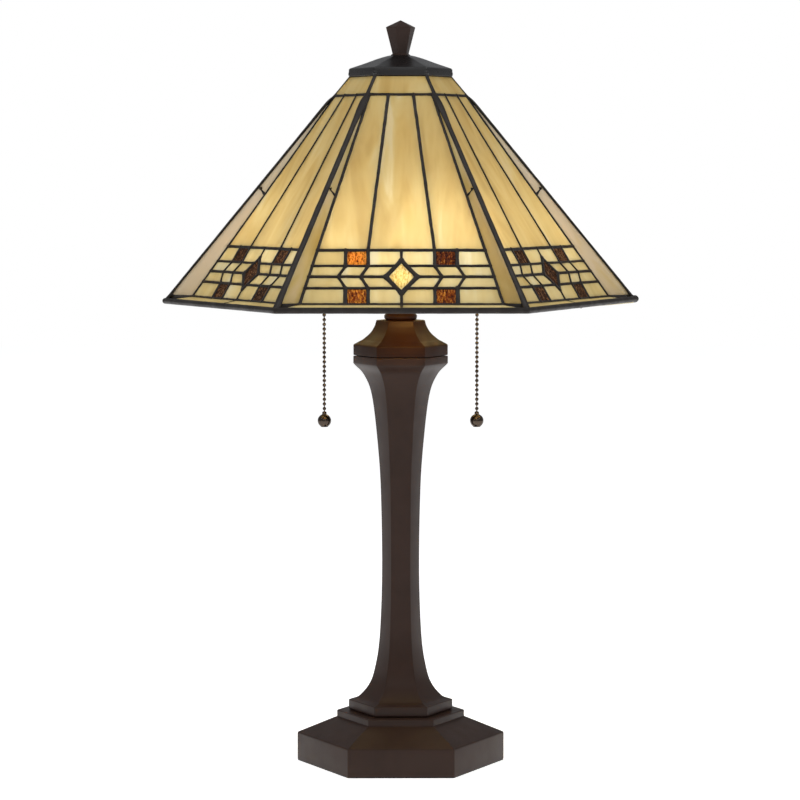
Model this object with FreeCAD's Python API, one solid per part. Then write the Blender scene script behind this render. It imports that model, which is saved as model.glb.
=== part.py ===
import FreeCAD, Part
import math
import os

from FreeCAD import Vector

# Stained glass table lamp: a six-sided leaded shade on a cast column, lit by two pull-chain sockets.
# Millimetres, Z up, origin at the middle of the base's underside. Every hexagon has corners on the X axis
# and a flat side towards -Y, and is given by its corner radius. A pair (radius, height) is one point
# of an outline.

SIDES = 6
FLAT = math.cos(math.radians(30))  # flat radius over corner radius of a hexagon
CLEARANCE = 0.05  # radial gap of a threaded or turning fit

# Shade. A face's points are (half width, distance out from the axis, height).
RIDGE_TOP = 44.5
SHADE_TOP_Z = 600.0
RIDGE_FOOT_RADIUS = 200.8
RIDGE_FOOT_Z = 410.9
RIM_RADIUS = 205.8
RIM_Z = 405.8
BAND_RADIUS = 58.0
PANEL_HEAD_HALF = 27.2
PANEL_HEAD_OUT = 49.8
PANEL_FOOT_HALF = 84.0
PANEL_FOOT_OUT = 160.8
PANEL_FOOT_Z = 409.7
GLASS = 3.0
WEB_HALF = 0.5  # half the gap between neighbouring panes
FLANGE_HALF = 1.3  # half the width of the came's flanges
FLANGE = 0.6  # thickness of the came's flanges
RIDGE_CAME = 1.9  # radius
RIDGE_SINK = 0.4  # the ridge came's middle lies this far inside the glass's outer corner
RIM_CAME = 2.3  # radius
RIDGE_CLEAR = 2.2  # panes stay this far from a ridge line
RIM_CLEAR = 2.5  # and this far from the rim line
WEDGE = 1.6  # thickness of the solder wedges between the ridges' feet and the rim's corners

# The face's pattern: heights of the lead lines down the panel, as fractions of its slope.
LINE_1 = 0.748
LINE_2 = 0.821
LINE_3 = 0.871
LINE_4 = 0.924
DIVIDER_TOP = 10.6  # the long strips' dividers, from the middle
SQUARE_NEAR = 27.4  # the amber squares' near and far sides
SQUARE_FAR = 46.0
CHEVRON = 6.1  # how far a chevron's point stands out
DIAMOND_HALF_WIDTH = 12.9
DIAMOND_HALF_HEIGHT = 15.7
TIP_TRIM = 22.0  # the side strip's top corner is trimmed this far down, clear of the ridge
GUSSET_TOP_RADIUS = 73.0  # solder fills the gusset above this point of the ridge
GUSSET_SPLIT_RADIUS = 123.0
GUSSET_SPLIT = 0.491

# Shade cap, spider and finial.
CAP_RADIUS = 45.3
CAP_Z = 600.1
CAP_CROWN_Z = 618.6
CAP_WALL = 1.5
SPIDER_Z = 600.8
SPIDER_THICKNESS = 2.2
FINIAL_TOP_Z = 648.8
FINIAL_TURN = 12.0  # degrees

# Stand.
BASE_RADIUS = 91.2
BASE_SLAB_Z = 25.2
BASE_PLINTH_RADIUS = 56.2
BASE_TOP_Z = 45.1
FELT = 0.8
BASE_WALL = 6.0
RECESS_Z = 20.0
FOOT_RADIUS = 45.8
FOOT_Z = 54.5
CAPITAL_RADIUS = 41.5
SEAM_Z = 358.1
POST_TOP_Z = 389.2
NECK_TOP_Z = 396.4
ROD = 4.8  # radius of the threaded pipes
ROD_BORE = 3.3
CORD_BORE = 3.5
CORD_Z = 11.0

# Cluster and sockets.
CLUSTER_RADIUS = 17.5
CLUSTER_TOP_Z = 414.0
CLUSTER_WALL = 1.5
COVER_TOP_Z = 417.0
ARM = 5.0
ARM_Z = 405.5
ARM_BEND = 10.0
SOCKET_X = 36.0
SOCKET_Z = 416.0
SHELL_Z = 426.0
SHELL_TOP_Z = 456.0
SHELL = 16.5
SHELL_WALL = 0.8
INSULATOR_TOP_Z = 436.0
BULB_BASE = 13.0
BULB = 25.0
BULB_Z = 484.0
BULB_NECK_Z = 455.6

# Pull chains, hanging at CHAIN_X.
CHAIN_X = 66.7
SPOUT = 5.0
SPOUT_LOW_Z = 421.0
SPOUT_HIGH_Z = 432.0
PULL_TOP_Z = 431.0
PULL = 1.8
CONNECTOR_PIVOT_Z = 414.6
CHAIN_PIVOT_Z = 407.6
BEAD = 1.6
BEAD_LINK = 0.5
BEAD_PITCH = 4.1
PENDANT = 5.95
PENDANT_Z = 300.8
PENDANT_NECK = 2.0


def save(name, shape):
    shape.exportStep("parts/" + name + ".step")


def spun(shape, turn):
    """A copy turned about the lamp's axis, in degrees."""
    copy = shape.copy()
    copy.rotate(Vector(0, 0, 0), Vector(0, 0, 1), turn)
    return copy


def mirrored(shape):
    return shape.mirror(Vector(0, 0, 0), Vector(1, 0, 0))


def line_edges(points):
    return [Part.LineSegment(a, b).toShape() for a, b in zip(points, points[1:])]


def curve_edge(points):
    curve = Part.BSplineCurve()
    curve.interpolate(points)
    return curve.toShape()


def outline_edges(stretches, place):
    """Edges of an outline. A stretch is a list of points, joined by lines, or a tuple of them, by one curve."""
    edges = []
    last = None
    for stretch in stretches:
        points = [place(radius, z) for radius, z in stretch]
        if last is not None and (points[0] - last).Length > 1e-6:
            edges += line_edges([last, points[0]])
        if isinstance(stretch, tuple):
            edges.append(curve_edge(points))
        else:
            edges += line_edges(points)
        last = points[-1]
    return edges


def hexagonal(stretches):
    """A solid of hexagonal section, from its outline: three two-sided slabs crossed at 60 degrees."""
    reach = 1.2 * max(radius for stretch in stretches for radius, z in stretch)
    near = Part.Wire(outline_edges(stretches, lambda radius, z: Vector(-reach, radius * FLAT, z)))
    far = near.mirror(Vector(0, 0, 0), Vector(0, 1, 0))
    low = stretches[0][0]
    high = stretches[-1][-1]
    ends = []
    for radius, z in (low, high):
        if radius > 0:
            ends += line_edges([Vector(-reach, radius * FLAT, z), Vector(-reach, -radius * FLAT, z)])
    loop = Part.Wire(Part.__sortEdges__(near.Edges + far.Edges + ends))
    slab = Part.Face(loop).extrude(Vector(2 * reach, 0, 0))
    return slab.common(spun(slab, 60)).common(spun(slab, 120))


def turned(stretches, x=0.0):
    """A solid of revolution about the upright line at x, from its outline."""
    edges = outline_edges(stretches, lambda radius, z: Vector(x + radius, 0, z))
    low = stretches[0][0]
    high = stretches[-1][-1]
    corners = [Vector(x + high[0], 0, high[1]), Vector(x, 0, high[1])]
    corners += [Vector(x, 0, low[1]), Vector(x + low[0], 0, low[1])]
    closing = [pair for pair in zip(corners, corners[1:]) if (pair[1] - pair[0]).Length > 1e-6]
    edges += [Part.LineSegment(a, b).toShape() for a, b in closing]
    face = Part.Face(Part.Wire(Part.__sortEdges__(edges)))
    return face.revolve(Vector(x, 0, 0), Vector(0, 0, 1), 360)


def upright(radius, low, high, x=0.0):
    return Part.makeCylinder(radius, high - low, Vector(x, 0, low))


def hexagon_bar(radius, low, high):
    return hexagonal([[(radius, low), (radius, high)]])


# Flat glass and came


def polygon(points):
    return Part.makePolygon(list(points) + [points[0]])


def facing(points, outward):
    """Unit normal of a flat polygon, on the side of the outward direction."""
    normal = (points[1] - points[0]).cross(points[2] - points[0]).normalize()
    return normal if normal.dot(outward) > 0 else normal * -1


def inset(points, distances):
    """A flat convex polygon drawn in, edge by edge. Edge i runs from point i to the next."""
    count = len(points)
    drawn = []
    for i, point in enumerate(points):
        arriving = (point - points[i - 1]).normalize()
        leaving = (points[(i + 1) % count] - point).normalize()
        sine = arriving.cross(leaving).Length
        drawn.append(point + leaving * (distances[i - 1] / sine) - arriving * (distances[i] / sine))
    return drawn


def pane(points, outward, distances):
    """One piece of glass: its outer face lies in the polygon, drawn in from the lead lines."""
    drawn = inset(points, distances)
    return Part.Face(polygon(drawn)).extrude(facing(points, outward) * -GLASS)


def lattice_layer(outline, cells, gap, normal, low, high):
    """A plate with one hole per pane, from low to high along the normal."""
    holes = [polygon(inset(cell, [gap] * len(cell))) for cell in cells]
    plate = Part.makeFace([polygon(outline)] + holes, "Part::FaceMakerBullseye")
    plate.translate(normal * low)
    return plate.extrude(normal * (high - low))


def seam_bar(start, end, outward_face, trims):
    """The web between two panes that meet on one line, with its ends trimmed."""
    along = (end - start).normalize()
    side = outward_face.cross(along) * WEB_HALF
    first = start + along * trims[0]
    last = end - along * trims[1]
    corners = [first - side, last - side, last + side, first + side]
    return Part.Face(polygon(corners)).extrude(outward_face * -GLASS)


BAND_TOP_HALF = RIDGE_TOP / 2
FRONT = Vector(0, -1, 0)
UP = Vector(0, 0, 1)


def corner_point(radius, z, side=1):
    """Point over the front face's left or right corner line."""
    return Vector(side * radius / 2, -radius * FLAT, z)


def ridge_point(radius, side=1):
    """Point of the front face's ridge line at a corner radius."""
    fall = (SHADE_TOP_Z - RIDGE_FOOT_Z) / (RIDGE_FOOT_RADIUS - RIDGE_TOP)
    return corner_point(radius, SHADE_TOP_Z - (radius - RIDGE_TOP) * fall, side)


def ridge_bar(side, radius):
    """The ridge came, straight to the ridge's foot, then flaring out towards the rim's corner."""
    sink = corner_point(-RIDGE_SINK, 0, side)
    start = ridge_point(RIDGE_TOP + RIDGE_CAME, side) + sink
    foot = ridge_point(RIDGE_FOOT_RADIUS, side) + sink
    flare = corner_point(RIM_RADIUS, RIM_Z, side) - foot
    flare_length = flare.Length - RIM_CAME - RIDGE_CAME
    straight = Part.makeCylinder(radius, (foot - start).Length, start, foot - start)
    knee = Part.makeSphere(radius, foot)
    return straight.fuse([knee, Part.makeCylinder(radius, flare_length, foot, flare)]).removeSplitter()


PANEL_HEAD = Vector(0, -PANEL_HEAD_OUT, ridge_point(BAND_RADIUS).z)
PANEL_FOOT = Vector(0, -PANEL_FOOT_OUT, PANEL_FOOT_Z)
PANEL_SLOPE = (PANEL_FOOT - PANEL_HEAD).Length


def on_panel(x, t):
    """Point of the front panel, t of the way down its slope."""
    return Vector(x, 0, 0) + PANEL_HEAD + (PANEL_FOOT - PANEL_HEAD) * t


def edge_x(t):
    """Half width of the panel, t of the way down."""
    return PANEL_HEAD_HALF + (PANEL_FOOT_HALF - PANEL_HEAD_HALF) * t


def levelled(point, origin, normal):
    """The point moved straight onto the plane through the origin."""
    return point - normal * (point - origin).dot(normal)


def panel_cells():
    """The panes of the front panel, as (kind, corners). Every pane but two is one of a left and right pair."""
    high = DIAMOND_HALF_HEIGHT / PANEL_SLOPE
    diamond_top = LINE_3 - high
    diamond_foot = LINE_3 + high
    at_line_2 = DIAMOND_HALF_WIDTH * (1 - (LINE_3 - LINE_2) / high)
    at_line_4 = DIAMOND_HALF_WIDTH * (1 - (LINE_4 - LINE_3) / high)
    near_point = SQUARE_NEAR + CHEVRON
    far_point = SQUARE_FAR + CHEVRON
    trim = TIP_TRIM / PANEL_SLOPE
    trimmed_half = PANEL_HEAD_HALF - RIDGE_CLEAR
    pairs = [
        ("field", [(DIVIDER_TOP, 0), (trimmed_half, 0), (edge_x(trim), trim),
                   (edge_x(LINE_1), LINE_1), (SQUARE_NEAR, LINE_1)]),
        ("border", [(0, LINE_1), (SQUARE_NEAR, LINE_1), (SQUARE_NEAR, LINE_2),
                    (at_line_2, LINE_2), (0, diamond_top)]),
        ("amber", [(SQUARE_NEAR, LINE_1), (SQUARE_FAR, LINE_1), (SQUARE_FAR, LINE_2), (SQUARE_NEAR, LINE_2)]),
        ("border", [(SQUARE_FAR, LINE_1), (edge_x(LINE_1), LINE_1), (edge_x(LINE_2), LINE_2),
                    (SQUARE_FAR, LINE_2)]),
        ("border", [(at_line_2, LINE_2), (SQUARE_NEAR, LINE_2), (near_point, LINE_3),
                    (DIAMOND_HALF_WIDTH, LINE_3)]),
        ("border", [(SQUARE_NEAR, LINE_2), (SQUARE_FAR, LINE_2), (far_point, LINE_3), (near_point, LINE_3)]),
        ("border", [(SQUARE_FAR, LINE_2), (edge_x(LINE_2), LINE_2), (edge_x(LINE_3), LINE_3),
                    (far_point, LINE_3)]),
        ("border", [(DIAMOND_HALF_WIDTH, LINE_3), (near_point, LINE_3), (SQUARE_NEAR, LINE_4),
                    (at_line_4, LINE_4)]),
        ("border", [(near_point, LINE_3), (far_point, LINE_3), (SQUARE_FAR, LINE_4), (SQUARE_NEAR, LINE_4)]),
        ("border", [(far_point, LINE_3), (edge_x(LINE_3), LINE_3), (edge_x(LINE_4), LINE_4),
                    (SQUARE_FAR, LINE_4)]),
        ("border", [(0, diamond_foot), (at_line_4, LINE_4), (SQUARE_NEAR, LINE_4), (SQUARE_NEAR, 1), (0, 1)]),
        ("amber", [(SQUARE_NEAR, LINE_4), (SQUARE_FAR, LINE_4), (SQUARE_FAR, 1), (SQUARE_NEAR, 1)]),
        ("border", [(SQUARE_FAR, LINE_4), (edge_x(LINE_4), LINE_4), (edge_x(1), 1), (SQUARE_FAR, 1)]),
    ]
    cells = [
        ("field", [(-DIVIDER_TOP, 0), (DIVIDER_TOP, 0), (SQUARE_NEAR, LINE_1), (-SQUARE_NEAR, LINE_1)]),
        ("amber", [(0, diamond_top), (DIAMOND_HALF_WIDTH, LINE_3), (0, diamond_foot),
                   (-DIAMOND_HALF_WIDTH, LINE_3)]),
    ]
    for kind, corners in pairs:
        for side in (1, -1):
            cells.append((kind, [(side * x, t) for x, t in corners]))
    return [(kind, [on_panel(x, t) for x, t in corners]) for kind, corners in cells]


def panel_outline():
    trim = TIP_TRIM / PANEL_SLOPE
    trimmed_half = PANEL_HEAD_HALF - RIDGE_CLEAR
    right = [(trimmed_half, 0), (edge_x(trim), trim), (edge_x(1), 1)]
    left = [(-x, t) for x, t in reversed(right)]
    return [on_panel(x, t) for x, t in right + left]


def face_sector():
    """The sixth of the shade that the front face may fill, a hair inside the ridges' planes."""
    reach = 1.3 * RIM_RADIUS
    tip = Vector(0, -2 * WEB_HALF, 0)
    corners = [tip, tip + Vector(reach / 2, -reach * FLAT, 0), tip + Vector(-reach / 2, -reach * FLAT, 0)]
    return Part.Face(polygon(corners)).extrude(UP * FINIAL_TOP_Z)


def band_pane():
    head = [Vector(BAND_TOP_HALF * side, -RIDGE_TOP * FLAT, SHADE_TOP_Z) for side in (-1, 1)]
    foot = [ridge_point(BAND_RADIUS, side) for side in (1, -1)]
    return pane(head + foot, FRONT, [WEB_HALF, RIDGE_CLEAR, WEB_HALF, RIDGE_CLEAR])


def gusset_panes(sector):
    """The four narrow side panes that carry the panel out to its ridges, and the lead round them."""
    panes = []
    bars = []
    for side in (1, -1):
        head = ridge_point(GUSSET_TOP_RADIUS, side)
        ridge_split = ridge_point(GUSSET_SPLIT_RADIUS, side)
        foot = ridge_point(RIDGE_FOOT_RADIUS, side)
        inner_foot = on_panel(side * edge_x(1), 1)
        flat = facing([ridge_split, foot, inner_foot], FRONT)
        inner_split = levelled(on_panel(side * edge_x(GUSSET_SPLIT), GUSSET_SPLIT), foot, flat)
        head_t = (PANEL_HEAD.z - head.z) / (PANEL_HEAD.z - PANEL_FOOT_Z)
        inner_head = levelled(on_panel(side * edge_x(head_t), head_t), foot, flat)
        upper = [head, ridge_split, inner_split, inner_head]
        lower = [ridge_split, foot, inner_foot, inner_split]
        panes.append(pane(upper, FRONT, [RIDGE_CLEAR, WEB_HALF, WEB_HALF, WEB_HALF]).common(sector))
        panes.append(pane(lower, FRONT, [RIDGE_CLEAR, WEB_HALF, WEB_HALF, WEB_HALF]).common(sector))
        split_bar = seam_bar(ridge_split, inner_split, facing(upper, FRONT), [RIM_CLEAR, 2 * WEB_HALF])
        foot_bar = seam_bar(foot, inner_foot, facing(lower, FRONT), [RIM_CLEAR + WEB_HALF, 2 * WEB_HALF])
        wedge = [inner_foot, foot, corner_point(RIM_RADIUS, RIM_Z, side)]
        drawn = inset(wedge, [3 * WEB_HALF, RIDGE_CLEAR, 3 * WEB_HALF])
        filler = Part.Face(polygon(drawn)).extrude(facing(wedge, FRONT) * -WEDGE)
        bars += [bar.common(sector) for bar in (split_bar, foot_bar, filler)]
    return panes, bars


def lip_panes():
    """The narrow, nearly level shelf under the panel, in two halves, and the bar between them."""
    panes = []
    for side in (1, -1):
        inner_foot = on_panel(side * edge_x(1), 1)
        rim_corner = corner_point(RIM_RADIUS, RIM_Z, side)
        inner_middle = on_panel(0, 1)
        rim_middle = Vector(0, -RIM_RADIUS * FLAT, RIM_Z)
        corners = [inner_middle, inner_foot, rim_corner, rim_middle]
        panes.append(pane(corners, UP, [WEB_HALF, 2 * WEB_HALF, RIM_CLEAR, WEB_HALF]))
    normal = facing(corners, UP)
    return panes, [seam_bar(inner_middle, rim_middle, normal, [2 * WEB_HALF, RIM_CLEAR])]


def make_faces():
    sector = face_sector()
    cells = panel_cells()
    kinds = {"field": [band_pane()], "border": [], "amber": []}
    for kind, corners in cells:
        kinds[kind].append(pane(corners, FRONT, [WEB_HALF] * len(corners)).common(sector))
    gussets, gusset_bars = gusset_panes(sector)
    lips, lip_bars = lip_panes()
    kinds["gusset"] = gussets + lips
    outline = panel_outline()
    normal = facing(outline, FRONT)
    openings = [corners for kind, corners in cells]
    web = lattice_layer(outline, openings, WEB_HALF, normal, -GLASS, 0)
    outer = lattice_layer(outline, openings, FLANGE_HALF, normal, 0, FLANGE)
    inner = lattice_layer(outline, openings, FLANGE_HALF, normal, -GLASS - FLANGE, -GLASS)
    ridges = [ridge_bar(side, RIDGE_CAME + CLEARANCE) for side in (1, -1)]
    came = web.fuse([outer, inner]).removeSplitter().common(sector).cut(ridges)
    face_cames = []
    for face in range(SIDES):
        turn = face * 360 / SIDES
        for kind, panes in kinds.items():
            placed = Part.makeCompound([spun(glass, turn) for glass in panes])
            save("face_%d_%s_glass" % (face + 1, kind), placed)
        face_cames += [spun(bar, turn) for bar in [came] + gusset_bars + lip_bars]
    save("face_cames", Part.makeCompound(face_cames))


def make_ridge_cames():
    bar = ridge_bar(1, RIDGE_CAME)
    save("ridge_cames", Part.makeCompound([spun(bar, k * 60) for k in range(SIDES)]))


def make_rim_came():
    sector = face_sector()
    start = Vector(-RIM_RADIUS, -RIM_RADIUS * FLAT, RIM_Z)
    bar = Part.makeCylinder(RIM_CAME, 2 * RIM_RADIUS, start, Vector(1, 0, 0)).common(sector)
    save("rim_came", Part.makeCompound([spun(bar, k * 60) for k in range(SIDES)]))


def make_shade_cap():
    band_z = CAP_Z + 5.0
    slope = [(44.5, 606.6), (40.5, 608.2), (30.5, 612.0), (20.6, 616.0), (13.5, 617.9), (9.6, CAP_CROWN_Z)]
    outer = hexagonal([[(CAP_RADIUS, CAP_Z), (CAP_RADIUS, band_z)] + slope])
    inner_slope = [(radius - CAP_WALL, z - CAP_WALL) for radius, z in slope]
    wall_radius = CAP_RADIUS - CAP_WALL / FLAT
    inner = hexagonal([[(wall_radius, CAP_Z), (wall_radius, band_z - CAP_WALL)] + inner_slope[1:]])
    hole = upright(ROD + 10 * CLEARANCE, CAP_Z, FINIAL_TOP_Z)
    save("shade_cap", outer.cut(inner).cut(hole))


def make_cap_spider():
    """A hub on six arms inside the cap, which carries the shade on the riser's collar."""
    top = SPIDER_Z + SPIDER_THICKNESS
    arm_width = 7.0
    hub = upright(12.0, SPIDER_Z, top)
    reach = (CAP_RADIUS - CAP_WALL / FLAT) * FLAT - CLEARANCE
    arm = Part.makeBox(arm_width, 2 * reach, SPIDER_THICKNESS, Vector(-arm_width / 2, -reach, SPIDER_Z))
    spider = hub.fuse([arm, spun(arm, 60), spun(arm, 120)])
    hole = upright(ROD + 10 * CLEARANCE, SPIDER_Z, top)
    save("cap_spider", spider.cut(hole).removeSplitter())


def make_finial():
    waist_z = CAP_CROWN_Z + 1.3
    stages = [(8.9, CAP_CROWN_Z), (7.2, waist_z), (13.1, 642.8), (0, FINIAL_TOP_Z)]
    body = spun(hexagonal([stages]), FINIAL_TURN)
    hole = upright(ROD - 0.8 + CLEARANCE, CAP_CROWN_Z, 632.0)
    save("finial", body.cut(hole))


# Stand


def make_base():
    slope_top = 38.5
    step_radius = BASE_PLINTH_RADIUS + 2.1
    outline = [(BASE_RADIUS, FELT), (BASE_RADIUS, BASE_SLAB_Z), (step_radius, slope_top)]
    outline += [(BASE_PLINTH_RADIUS, slope_top + 0.6), (BASE_PLINTH_RADIUS, BASE_TOP_Z)]
    recess = hexagon_bar(BASE_RADIUS - BASE_WALL / FLAT, FELT, RECESS_Z)
    core = upright(49.0, RECESS_Z, slope_top - 1).cut(upright(16.0, RECESS_Z, slope_top - 1))
    rod_hole = upright(ROD + 6 * CLEARANCE, FELT, BASE_TOP_Z)
    wall_out = BASE_RADIUS * FLAT
    cord_hole = Part.makeCylinder(5.05, 2 * BASE_WALL, Vector(0, wall_out - 1.5 * BASE_WALL, CORD_Z), -FRONT)
    save("base_casting", hexagonal([outline]).cut([recess, core, rod_hole, cord_hole]))
    save("base_felt", hexagon_bar(BASE_RADIUS - 0.6, 0, FELT))
    ring = upright(64.0, 6.5, RECESS_Z).cut(upright(18.0, 6.5, RECESS_Z))
    save("base_weight", ring)
    barrel = Part.makeCylinder(5.0, BASE_WALL + 3, Vector(0, wall_out - BASE_WALL - 3, CORD_Z), -FRONT)
    flange = Part.makeCylinder(7.5, 2.0, Vector(0, wall_out, CORD_Z), -FRONT)
    bore = Part.makeCylinder(CORD_BORE, 20, Vector(0, wall_out - 15, CORD_Z), -FRONT)
    save("cord_grommet", barrel.fuse(flange).cut(bore).removeSplitter())
    washer = upright(14.0, RECESS_Z - 2, RECESS_Z).cut(upright(ROD + CLEARANCE, 0, RECESS_Z))
    nut = hexagon_bar(9.2, 11.5, RECESS_Z - 2).cut(upright(ROD + CLEARANCE, 0, RECESS_Z))
    save("base_nut", Part.makeCompound([washer, nut]))
    save("tie_rod", upright(ROD, 5.0, 403.0).cut(upright(ROD_BORE, 0, 500)))


def make_column():
    shaft = ((43.9, FOOT_Z), (37.0, 57.3), (27.9, 67.9), (22.9, 82.1), (18.6, 110.6), (16.5, 168.0),
             (17.5, 238.2), (20.2, 280.5), (25.2, 322.6), (32.1, 341.0), (CAPITAL_RADIUS, 351.1))
    plinth = [(FOOT_RADIUS - 1.0, BASE_TOP_Z), (FOOT_RADIUS, BASE_TOP_Z + 1.0), (FOOT_RADIUS, FOOT_Z)]
    outline = [plinth, shaft, [(CAPITAL_RADIUS, 351.1), (CAPITAL_RADIUS, SEAM_Z)]]
    bore = upright(7.0, BASE_TOP_Z, SEAM_Z)
    core_foot = [(32.0, BASE_TOP_Z), (32.0, 51.0)]
    core = ((26.0, 57.5), (18.8, 68.0), (14.6, 82.0), (11.2, 110.0), (9.4, 168.0), (10.2, 238.0),
            (12.5, 280.0), (16.8, 322.0), (21.0, 338.0))
    hollow = turned([core_foot, core, [(21.0, 346.0)]])
    save("column_casting", hexagonal(outline).cut([bore, hollow]))


def make_post_cap():
    lip_z = 367.7
    cove = ((CAPITAL_RADIUS, lip_z), (32.5, 372.6), (26.6, 377.8), (23.2, 383.1), (21.7, 388.0))
    skirt = [(CAPITAL_RADIUS - 0.6, SEAM_Z), (CAPITAL_RADIUS, SEAM_Z + 0.6), (CAPITAL_RADIUS, lip_z)]
    outline = [skirt, cove, [(21.7, 388.0), (20.3, POST_TOP_Z)]]
    bore = upright(ROD + 6 * CLEARANCE, SEAM_Z, POST_TOP_Z)
    hollow = turned([[(31.0, SEAM_Z), (31.0, 365.0), (15.0, 380.0)]])
    save("post_cap", hexagonal(outline).cut([bore, hollow]))


def make_cluster():
    """The hollow body that joins the two socket arms to the post, its cover and its arms."""
    ring = turned([[(13.2, POST_TOP_Z), (14.4, POST_TOP_Z + 1.4), (14.4, NECK_TOP_Z - 1.4), (13.2, NECK_TOP_Z)]])
    save("neck_ring", ring.cut(upright(ROD + 4 * CLEARANCE, POST_TOP_Z, NECK_TOP_Z)))
    body = turned([[(13.2, NECK_TOP_Z), (CLUSTER_RADIUS, 401.0), (CLUSTER_RADIUS, CLUSTER_TOP_Z)]])
    cavity = upright(CLUSTER_RADIUS - CLUSTER_WALL, 402.0, CLUSTER_TOP_Z)
    arm_hole = Part.makeCylinder(ARM + CLEARANCE, 60, Vector(-30, 0, ARM_Z), Vector(1, 0, 0))
    cap_hole = upright(ROD + CLEARANCE, NECK_TOP_Z, CLUSTER_TOP_Z)
    save("cluster_body", body.cut(cavity).cut(arm_hole).cut(cap_hole))
    dome = [(CLUSTER_RADIUS, CLUSTER_TOP_Z), (CLUSTER_RADIUS - 1, CLUSTER_TOP_Z + 1.6), (8.0, COVER_TOP_Z)]
    save("cluster_cover", turned([dome]).cut(upright(ROD + CLEARANCE, CLUSTER_TOP_Z, COVER_TOP_Z)))
    arm = pipe_arm()
    save("cluster_arms", Part.makeCompound([arm, mirrored(arm)]))
    rod_top = 612.0
    stud = upright(ROD - 0.8, rod_top, 630.0)
    save("riser_rod", upright(ROD, 409.0, rod_top).fuse(stud).removeSplitter())
    collar = turned([[(7.5, SPIDER_Z - 7.0), (7.5, SPIDER_Z - 2.4), (12.0, SPIDER_Z - 2.4), (12.0, SPIDER_Z)]])
    save("shade_rest", collar.cut(upright(ROD + CLEARANCE, 500, 620)))


def pipe_arm():
    """A bent pipe from the cluster's side up into the right socket's cap."""
    bend_x = SOCKET_X - ARM_BEND
    start = Vector(12.5, 0, ARM_Z)
    bend_start = Vector(bend_x, 0, ARM_Z)
    half = math.sqrt(0.5)
    bend_middle = Vector(bend_x + ARM_BEND * half, 0, ARM_Z + ARM_BEND * (1 - half))
    bend_end = Vector(SOCKET_X, 0, ARM_Z + ARM_BEND)
    end = Vector(SOCKET_X, 0, SOCKET_Z + 5)
    path = Part.Wire([
        Part.LineSegment(start, bend_start).toShape(),
        Part.Arc(bend_start, bend_middle, bend_end).toShape(),
        Part.LineSegment(bend_end, end).toShape(),
    ])
    rings = [Part.Wire(Part.makeCircle(radius, start, Vector(1, 0, 0))) for radius in (ARM, ROD_BORE)]
    outer, inner = [path.makePipeShell([ring], True, False) for ring in rings]
    return outer.cut(inner)


def socket_cap():
    outer = turned([[(7.6, SOCKET_Z), (7.6, SOCKET_Z + 3), (SHELL, SHELL_Z - 2), (SHELL, SHELL_Z)]], SOCKET_X)
    low = [(5.6, SOCKET_Z + 4.5), (SHELL - 1.2, SHELL_Z - 1.6), (SHELL - 1.2, SHELL_Z)]
    hollow = turned([low], SOCKET_X)
    return outer.cut(hollow).cut(upright(ARM + CLEARANCE, SOCKET_Z, SHELL_Z, SOCKET_X))


def socket_shell():
    """The socket's outer shell, with the elbow spout that guides the pull."""
    wall = upright(SHELL, SHELL_Z, SHELL_TOP_Z, SOCKET_X)
    spout_z = SPOUT_HIGH_Z - SPOUT / 2
    neck = Part.makeCylinder(SPOUT * 0.65, CHAIN_X - SOCKET_X, Vector(SOCKET_X, 0, spout_z), Vector(1, 0, 0))
    spout = turned([[(SPOUT + 0.8, SPOUT_LOW_Z), (SPOUT - 0.6, SPOUT_LOW_Z + 2.5), (SPOUT - 0.6, SPOUT_HIGH_Z),
                     (SPOUT - 2.5, SPOUT_HIGH_Z + 2.0)]], CHAIN_X)
    hollow = upright(SHELL - SHELL_WALL, SHELL_Z, SHELL_TOP_Z, SOCKET_X)
    well = upright(PULL + 0.5, SPOUT_LOW_Z, PULL_TOP_Z + 0.5, CHAIN_X)
    return wall.fuse([neck, spout]).cut(hollow).cut(well).removeSplitter()


def screw_shell():
    cup = upright(BULB_BASE + 0.6, INSULATOR_TOP_Z, SHELL_TOP_Z - 1, SOCKET_X)
    hollow = upright(BULB_BASE + CLEARANCE, INSULATOR_TOP_Z + 0.6, SHELL_TOP_Z, SOCKET_X)
    return cup.cut(hollow).cut(upright(7.0, INSULATOR_TOP_Z, SHELL_TOP_Z, SOCKET_X))


def bulb_glass():
    neck = 12.4
    wall = 0.8
    shells = []
    for inner in (0.0, wall):
        radius = BULB - inner
        neck_radius = neck - inner
        meet_z = BULB_Z - math.sqrt(radius**2 - neck_radius**2)
        ball = Part.makeSphere(radius, Vector(SOCKET_X, 0, BULB_Z))
        shells.append(ball.fuse(upright(neck_radius, BULB_NECK_Z, meet_z + 1, SOCKET_X)))
    return shells[0].cut(shells[1]).removeSplitter()


def bulb_base():
    contact_z = INSULATOR_TOP_Z + 2.8
    outline = [(4.5, contact_z), (4.5, contact_z + 1.2), (11.0, contact_z + 3.4), (BULB_BASE, contact_z + 4.2)]
    return turned([outline + [(BULB_BASE, BULB_NECK_Z - 0.1)]], SOCKET_X)


def make_sockets():
    for name, shape in (
        ("socket_caps", socket_cap()),
        ("socket_interiors", upright(SHELL - 1.3, SHELL_Z, INSULATOR_TOP_Z, SOCKET_X)),
        ("screw_shells", screw_shell()),
        ("centre_contacts", upright(4.0, INSULATOR_TOP_Z, INSULATOR_TOP_Z + 2.5, SOCKET_X)),
    ):
        save(name, Part.makeCompound([shape, mirrored(shape)]))
    for name, shape in (
        ("socket_shell", socket_shell()),
        ("bulb_glass", bulb_glass()),
        ("bulb_base", bulb_base()),
    ):
        save("right_" + name, shape)
        save("left_" + name, mirrored(shape))


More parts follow.
